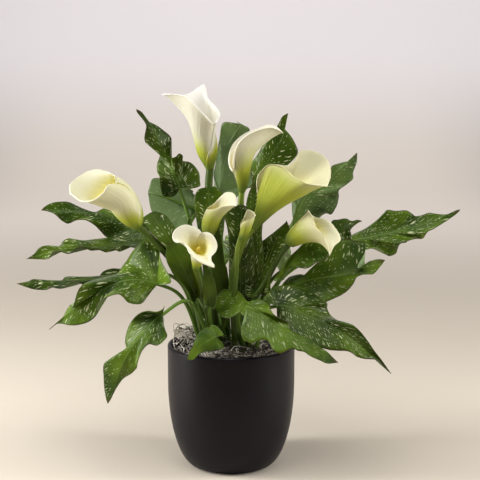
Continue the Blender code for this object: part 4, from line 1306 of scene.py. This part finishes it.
# The edge of each mouth: from where the edges cross, by the near side, to the tip, and back by the far side.
MOUTHS = {
    1: ([(-22, -4, 445), (-26, -12, 449), (-36, -19, 461), (-47, -18, 473), (-57, -12, 480), (-70, -4, 482)],
        (-85, 5, 482),
        [(-71, 16, 480), (-59, 28, 479), (-48, 36, 484), (-36, 42, 492), (-32, 38, 484), (-29, 30, 474),
         (-20, 20, 465), (-15, 10, 456), (-21, 0, 445)]),
    2: ([(3, -8, 387), (3, -16, 401), (5, -19, 413), (11, -20, 424), (22, -19, 433), (34, -17, 438),
         (47, -14, 441), (57, -9, 439)],
        (65, -4, 434),
        [(57, 2, 441), (47, 8, 443), (35, 14, 438), (22, 16, 433), (12, 15, 427), (3, 11, 418), (-1, 6, 408),
         (-2, 1, 399), (0, -4, 390), (3, -8, 386)]),
    3: ([(33, -20, 359), (32, -24, 371), (34, -26, 381), (41, -26, 390), (49, -26, 395), (59, -27, 393),
         (68, -30, 389), (74, -36, 384), (81, -42, 379), (90, -48, 376), (99, -49, 374), (108, -48, 373)],
        (119, -42, 371),
        [(124, -30, 382), (124, -14, 394), (118, 0, 403), (109, 8, 408), (97, 14, 410), (88, 14, 408),
         (84, 8, 400), (78, 3, 394), (71, -2, 391), (64, -6, 392), (56, -8, 393), (48, -8, 390),
         (41, -9, 384), (37, -11, 376), (35, -14, 367), (34, -18, 360)]),
    4: ([(-145, -58, 374), (-151, -64, 374), (-157, -68, 365), (-168, -68, 357), (-183, -62, 355)],
        (-198, -50, 363),
        [(-199, -40, 372), (-194, -24, 377), (-185, -10, 383), (-171, -4, 387), (-157, -10, 385),
         (-145, -30, 381), (-142, -48, 374)]),
    5: ([(-36, -60, 315), (-40, -58, 319), (-47, -57, 322), (-55, -57, 324), (-63, -59, 322), (-70, -62, 316),
         (-71, -66, 309), (-65, -70, 305), (-58, -72, 305), (-53, -75, 300), (-50, -78, 294), (-43, -82, 288),
         (-35, -86, 283), (-27, -89, 280)],
        (-20, -92, 278),
        [(-24, -86, 283), (-24, -80, 289), (-19, -73, 294), (-17, -68, 300), (-19, -64, 307), (-24, -61, 313),
         (-30, -59, 315), (-35, -59, 314)]),
    6: ([(-31, -32, 340), (-25, -40, 340), (-16, -45, 343), (-5, -49, 347)],
        (6, -46, 347),
        [(5, -36, 356), (1, -28, 360), (-7, -20, 359), (-14, -18, 353), (-22, -22, 345), (-29, -28, 340)]),
    7: ([(97, -24, 336), (100, -34, 331), (103, -42, 325), (106, -47, 318), (111, -51, 314), (116, -55, 307),
         (121, -58, 298)],
        (123, -58, 287),
        [(127, -54, 295), (131, -48, 299), (137, -42, 303), (136, -36, 309), (132, -30, 315), (126, -25, 322),
         (119, -21, 326), (110, -18, 327), (103, -18, 330), (98, -21, 337)]),
    8: ([(12, -42, 323), (16, -46, 325), (20, -47, 327), (25, -46, 329)],
        (30, -42, 333),
        [(27, -36, 337), (21, -34, 339), (19, -34, 333), (17, -35, 328), (14, -38, 324)]),
}

Flower = namedtuple("Flower", "tuber shoot radius stem opening green cream turn glow pale")
FLOWERS = {number: Flower(*row) for number, row in FLOWERS.items()}
rim_points = sum(len(near) + len(far) + 1 for near, _, far in MOUTHS.values())
print(len(FLOWERS), "flowers, their mouths drawn with", rim_points, "points")

# %% [markdown]
# ### Flower stems
# A flower stem is smooth and solid, and its green changes from its foot up to the flower. It could be one
# plain green, but fine streaks along it keep it from looking like wire. On some the top is painted pale: a
# painted highlight.

# %% Flower stems
STEM_SIDES = 20
STEM_STEPS = 12
STEM_FOOT_SWELL = 1.12


def paint_stem(net):
    streaks = net.noise(260, vector=net.vector("MULTIPLY", net.here(), (1, 1, 0.12)))
    climb = net.attribute("climb")
    low = net.mix(streaks, (0.045, 0.085, 0.005, 1), (0.09, 0.15, 0.010, 1))
    high = net.mix(streaks, (0.030, 0.058, 0.004, 1), (0.065, 0.11, 0.008, 1))
    highlight_green = net.mix(streaks, (0.12, 0.19, 0.008, 1), (0.24, 0.32, 0.03, 1))
    # Painted highlight: on some flowers the top of the stem is painted pale.
    high = net.mix(net.attribute("pale") * net.ease(climb, 0.45, 0.9), high, highlight_green)
    return {
        "Base Color": net.mix(net.ease(climb, 0.2, 0.95), low, high),
        "Roughness": 0.36 + 0.12 * streaks,
        "Bump": (streaks, 0.0004),
    }


STEM_GREEN = finish_material("stem_green", paint_stem, Specular_IOR_Level=0.3)


def build_stem(number, flower):
    name = "flower_stem_%d" % number
    path = shoot_path(flower.tuber, flower.shoot, flower.stem, STEM_STEPS)
    radii = np.linspace(STEM_FOOT_SWELL, 1.0, len(path)) * flower.radius * MM
    mesh = grow_stalk(name, path, radii, STEM_SIDES, STEM_GREEN, pale=flower.pale)
    place_piece(name, mesh, "stem", "stem_%d" % number)
    return path


stem_paths = {number: build_stem(number, flower) for number, flower in FLOWERS.items()}
print("stems:", [round(lengths_along(path)[-1] / MM) for path in stem_paths.values()], "mm long")

# %% [markdown]
# ### The rolled sheet
# The funnel grows evenly out of a round stem, so its sheet is a blend: low down it follows rings round the
# throat, high up the mouth's own edge, and between them it widens by a power law. It is left open along one
# side and rolled a little past full circle, so that one edge laps over the other.

# %% The mouth and the throat
MOUTH_SPAN_STEPS = 16
THROAT_SPAN_STEPS = 20
THROAT_STEPS = 160
THROAT_SOFTNESS = 16
THROAT_DIP = 1.5 * MM
THROAT_FIT = 1.05


def at_rows(table, where):
    """Rows of a table at places between them, by straight interpolation."""
    low = np.minimum(where.astype(int), len(table) - 2)
    part = (where - low).reshape(where.shape + (1,) * (table.ndim - 1))
    return table[low] * (1 - part) + table[low + 1] * part


def mouth_rim(near, tip, far, share):
    """The mouth's edge at each share of its round: -1 and 1 where the edges cross, 0 at the pointed tip."""
    halves = []
    for points, start, end in ((near + [tip], -1, 0), ([tip] + far, 0, 1)):
        edge = smooth_path(np.array(points) * MM, MOUTH_SPAN_STEPS)
        chosen = share[(share >= start) & ((share < end) if end == 0 else (share <= end))]
        place = (chosen - start) * (len(edge) - 1)
        halves.append(np.stack([np.interp(place, np.arange(len(edge)), column) for column in edge.T], -1))
    return np.concatenate(halves)


def running_mean(values, reach):
    """Each value averaged with its neighbours up to this many places away."""
    padded = np.pad(values, reach, mode="edge")
    return np.convolve(padded, np.ones(2 * reach + 1) / (2 * reach + 1), mode="valid")


def throat_line(path, stem_radius, throat_row):
    """Places and radii at even steps from just below the stem's top to the middle of the mouth."""
    points = np.array(throat_row) * MM
    first = np.append(path[-1] - unit(path[-1] - path[-2]) * THROAT_DIP, stem_radius * THROAT_FIT * MM)
    line = smooth_path(np.vstack([first, points]), THROAT_SPAN_STEPS)
    travelled = lengths_along(line[:, :3])
    even = along_line(line[:, :3], line, np.linspace(0, travelled[-1], THROAT_STEPS + 1))
    step = np.arange(THROAT_STEPS + 1)
    ease = np.clip(np.minimum(step, THROAT_STEPS - step) / THROAT_SOFTNESS, 0, 1)[:, None]
    soft = np.stack([running_mean(column, THROAT_SOFTNESS) for column in even.T], -1)
    return soft * ease + even * (1 - ease)


throats = {number: throat_line(stem_paths[number], flower.radius, THROATS[number])
           for number, flower in FLOWERS.items()}
print("throats from", [round(lengths_along(line[:, :3])[-1] / MM) for line in throats.values()], "mm long")

# %% The rolled sheet
SPATHE_LEVELS = 56
SPATHE_SIDES = 72
SEAM_GAP = 0.6 * MM
SEAM_WIDTH = 0.2
SEAM_LAP = 0.4
LAP_FADE = 1.5
# How fast the seam opens above the stem, and the share of its gap that it starts with.
SEAM_OPENING = 8
SEAM_CLOSED = 0.2
# The lowest part of the throat that a side of the rim may spring from, and how evenly the sides share it.
RIM_LOWEST = 0.25
RIM_SOFTNESS = 6
ROLL_RADIUS = 0.9 * MM
ROLL_HEIGHT = 0.6
ROLL_TURNS = (20, 50, 80, 110, 140)


def throat_frame(line, rim):
    """Two directions across the throat: one to the tip's side, and one to the far side."""
    quarter = SPATHE_SIDES // 4
    ahead = unit(np.gradient(line, axis=0))
    towards = rim[2 * quarter] - line[-1]
    across = unit(towards - ahead * (ahead @ towards)[:, None])
    beside = np.cross(ahead, across)
    return across, beside * np.sign(beside[-1] @ (rim[3 * quarter] - rim[quarter]))


def around(angle, across, beside):
    """Which way an angle round the throat points."""
    return np.cos(angle)[..., None] * across + np.sin(angle)[..., None] * beside


def spathe_sheet(throat, flower, mouth_row):
    """Points of the rolled sheet by level and round, which way they look, and the levels."""
    share = np.linspace(-1, 1, SPATHE_SIDES + 1)
    rim = mouth_rim(*mouth_row, share)
    line, radius = throat[:, :3], throat[:, 3:]
    across, beside = throat_frame(line, rim)

    # Each side of the sheet climbs the throat as far as its own part of the rim lies up it.
    tube = line[:, None] + radius[:, None] * around(share * math.pi, across[:, None], beside[:, None])
    nearest = np.clip(np.linalg.norm(tube - rim, axis=-1).argmin(0) / THROAT_STEPS, RIM_LOWEST, 1)
    level = np.linspace(0, 1, THROAT_STEPS + 1)[:, None]
    here = level * running_mean(nearest, RIM_SOFTNESS) * THROAT_STEPS

    # Rings round the throat, lapped and turned low down, blend into the rim.
    angle = share * (math.pi + SEAM_LAP * (1 - level) ** LAP_FADE) + math.radians(flower.turn) * (1 - level)
    centre = at_rows(line, here)
    ring = at_rows(radius, here) * around(angle, at_rows(across, here), at_rows(beside, here))
    spread = (level ** flower.opening)[..., None]
    sheet = (1 - spread) * (centre + ring) + spread * rim

    # One edge lies over the other along the seam.
    seam = np.clip((np.abs(share) - (1 - SEAM_WIDTH)) / SEAM_WIDTH, 0, 1) * np.sign(share)
    lift = seam * SEAM_GAP * np.clip(level * SEAM_OPENING, SEAM_CLOSED, 1)
    sheet = sheet + unit(sheet - centre) * lift[..., None]

    # The levels are set out again at even steps along the sheet.
    climb = np.linalg.norm(np.diff(sheet, axis=0), axis=-1).mean(1)
    climb = np.concatenate([[0], np.cumsum(climb)])
    even = np.interp(np.linspace(0, climb[-1], SPATHE_LEVELS + 1), climb, np.arange(len(climb)))
    sheet, centre = at_rows(sheet, even), at_rows(centre, even)
    out = sheet_normals(sheet, np.zeros(3))
    out *= np.sign(((sheet - centre) * out).sum())
    return sheet, out, even / THROAT_STEPS


def roll_edge(sheet, out, level):
    """Adds a narrow rolled-back edge along the mouth."""
    up = unit(sheet[-1] - sheet[-2])
    curl, curl_out = [], []
    for turn in np.radians(ROLL_TURNS):
        rise, back = math.sin(turn) * up * ROLL_HEIGHT, (1 - math.cos(turn)) * out[-1]
        curl.append(sheet[-1] + ROLL_RADIUS * (rise + back))
        curl_out.append(math.cos(turn) * out[-1] - math.sin(turn) * up)
    level = np.concatenate([level, np.repeat(level[-1:], len(ROLL_TURNS))])
    return np.concatenate([sheet, curl]), np.concatenate([out, curl_out]), level[:, None]


print("a rolled sheet is a grid of", SPATHE_LEVELS + 1 + len(ROLL_TURNS), "by", SPATHE_SIDES + 1, "points")

# %% [markdown]
# ### Spathe colour
# The spathe is green where it leaves the stem, then yellow, then white or cream, with faint ribs that run up
# it. Its inside is painted paler and its outside greyer: painted light and shade. Deep in the throat it is
# yellow, partly its own colour and partly painted light against the shade there. Light passes through it
# there.
# A translucent shader would show that in a render and lose it in an export, so the throat glows a little
# instead.

# %% Spathes
SPATHE_THICKNESS = 0.55 * MM


def paint_spathe(net):
    level = net.attribute("level")
    cream = net.attribute("cream")
    inner = net.attribute("inner")
    blotch = net.noise(26, 2)
    ribs = net.node("ShaderNodeTexNoise", {"noise_dimensions": "2D"},
                    {"Vector": net.join(X=60 * net.attribute("round"), Y=1.2 * level), "Scale": 1.0})
    # Painted light and shade: the inside is painted paler, the outside greyer.
    outside = net.mix(cream, (0.70, 0.675, 0.55, 1), (0.66, 0.62, 0.33, 1))
    inside = net.mix(cream, (0.86, 0.835, 0.76, 1), (0.74, 0.70, 0.44, 1))
    petal = net.mix(inner, outside, inside)
    # Yellow deep inside: partly its own colour, partly painted light where the throat lies in shade.
    glow = inner * net.ease(level / net.attribute("glow"), 1.0, 0.55)
    petal = net.mix(glow, petal, (0.90, 0.83, 0.24, 1))
    margin = net.ease(net.maths("ABSOLUTE", net.attribute("round") - 0.5), 0.36, 0.48)
    reach = net.attribute("green") * (0.85 + 0.3 * blotch) * (1 - 0.7 * inner) * (1 - 0.35 * margin)
    climb = level / reach
    yellow = net.mix(net.ease(climb, 1.05, 0.45), petal, (0.37, 0.41, 0.015, 1))
    green = net.mix(net.ease(climb, 0.55, 0.05), yellow, (0.11, 0.18, 0.006, 1))
    return {
        "Base Color": net.mix(0.12 * ribs, green, (0.5, 0.5, 0.3, 1)),
        "Emission Color": net.mix(inner * net.ease(level, 0.62, 0.3), (0, 0, 0, 1), (0.16, 0.155, 0.02, 1)),
        "Roughness": 0.42 + 0.1 * ribs,
        "Bump": (ribs, 0.0004),
    }


SPATHE_SKIN = finish_material("spathe_skin", paint_spathe, Specular_IOR_Level=0.28, Emission_Strength=1.0)


def build_spathe(number, flower):
    name = "spathe_%d_skin" % number
    sheet, out, level = roll_edge(*spathe_sheet(throats[number], flower, MOUTHS[number]))
    skin = closed_skin(name + "_sheet", sheet, out, SPATHE_THICKNESS, "inner", level=level,
                       round=np.linspace(0, 1, SPATHE_SIDES + 1),
                       green=flower.green, cream=flower.cream, glow=flower.glow)
    mesh = join_meshes(name, skin)
    mesh.materials.append(SPATHE_SKIN)
    place_piece(name, mesh, "spathe", "spathe_%d" % number)
    return len(mesh.polygons)


print("spathes:", sum(build_spathe(number, flower) for number, flower in FLOWERS.items()), "faces")

# %% [markdown]
# ### The spadix
# The true flowers are beads packed on a yellow finger in the throat. They follow the rule that most plants
# do: each sits 137.5 degrees round from the last, which never lines up and so packs evenly. A bumpy material
# would stay smooth in outline, so a tree sets a few-faced bead at each place, over a tapering core.

# %% The floret tree
FINGER_SIDES = 12
FINGER_TAPER = 0.25
FINGER_ROUNDNESS = 14


def floret_tree():
    net, given = new_tree("Florets round a finger", {
        "Florets": "Int", "Turn": "Float", "Radius": "Float", "Bead": "Float", "Finish": "Material"})
    line = net.node("GeometryNodeMeshToCurve", {}, {"Mesh": given["Geometry"]})

    def girth(share):
        """The finger's radius at this share of its length: a slight taper and a round end."""
        return given["Radius"] * (1 - FINGER_TAPER * share) * (1.0001 - share ** FINGER_ROUNDNESS) ** 0.5

    core = net.tube(line, FINGER_SIDES, girth(net.node("GeometryNodeSplineParameter")))
    spots = net.node("GeometryNodePoints", {}, {"Count": given["Florets"]})
    index = net.node("GeometryNodeInputIndex")
    share = (index + 0.5) / given["Florets"]
    sample = net.node("GeometryNodeSampleCurve", {}, {"Curves": line, "Factor": share}, "Position")
    ahead = sample.also("Tangent")
    side = sample.also("Normal")
    over = net.vector("CROSS_PRODUCT", ahead, side)
    angle = index * given["Turn"]
    part_side = net.vector("SCALE", side, Scale=net.maths("COSINE", angle))
    part_over = net.vector("SCALE", over, Scale=net.maths("SINE", angle))
    out = net.vector("ADD", part_side, part_over)
    place = net.vector("ADD", sample, net.vector("SCALE", out, Scale=girth(share)))
    placed = net.node("GeometryNodeSetPosition", {}, {"Geometry": spots, "Position": place})
    turned = net.node("FunctionNodeAlignRotationToVector", {"axis": "Z"}, {"Vector": out})
    bead = net.node("GeometryNodeMeshIcoSphere", {}, {"Radius": given["Bead"], "Subdivisions": 1})
    round_bead = net.node("GeometryNodeSetShadeSmooth", {}, {"Geometry": bead})
    beads = net.node("GeometryNodeInstanceOnPoints", {},
                     {"Points": placed, "Instance": round_bead, "Rotation": turned})
    both = net.tree.nodes.new("GeometryNodeJoinGeometry")
    net.plug(both.inputs[0], core)
    net.plug(both.inputs[0], beads)
    return close_tree(net, Wire(net, both.outputs[0]), given["Finish"])


FLORET_TREE = floret_tree()
print("floret tree:", len(FLORET_TREE.nodes), "nodes")

# %% Spadices
FLORETS = 230
FLORET_RADIUS = 0.62 * MM
GOLDEN_TURN = math.radians(137.508)
# Where the finger starts and ends as shares of the throat, and its radius as a share of the stem's.
SPADIX_START = 0.04
SPADIX_END = 0.66
SPADIX_SHARE = 0.8
SPADIX_WIDEST = 3.2
# The florets' middles lie on a core that is this much thinner, which is drawn with every fourth point.
SPADIX_CORE = 0.85
SPADIX_STRIDE = 4
# The fifth flower is open to the front and shows more of its finger.
SPADIX_REACH = {5: 0.8}
SPADIX_RADIUS = {5: 3.6}


def paint_spadix(net):
    grain = net.noise(700, 2)
    return {
        "Base Color": net.mix(grain, (0.82, 0.60, 0.06, 1), (0.92, 0.78, 0.20, 1)),
        "Bump": (grain, 0.0003),
    }


SPADIX_YELLOW = finish_material("pollen_yellow", paint_spadix, roughness=0.7)


def build_spadix(number, stem_radius):
    throat = throats[number][:, :3]
    place = np.arange(len(throat)) / len(throat)
    line = throat[(place >= SPADIX_START) & (place <= SPADIX_REACH.get(number, SPADIX_END))][::SPADIX_STRIDE]
    radius = SPADIX_RADIUS.get(number, min(SPADIX_WIDEST, SPADIX_SHARE * stem_radius)) * MM
    name = "spadix_%d_florets" % number
    mesh = grow(FLORET_TREE, line_from("spadix_line", line), name, florets=FLORETS, turn=GOLDEN_TURN,
                radius=SPADIX_CORE * radius, bead=FLORET_RADIUS, finish=SPADIX_YELLOW)
    place_piece(name, mesh, "spadix", "spadix_%d" % number)
    return len(mesh.polygons)


print("spadices:", sum(build_spadix(number, flower.radius) for number, flower in FLOWERS.items()), "faces")

# %% [markdown]
# The finished plant has to keep to the packed model's size.
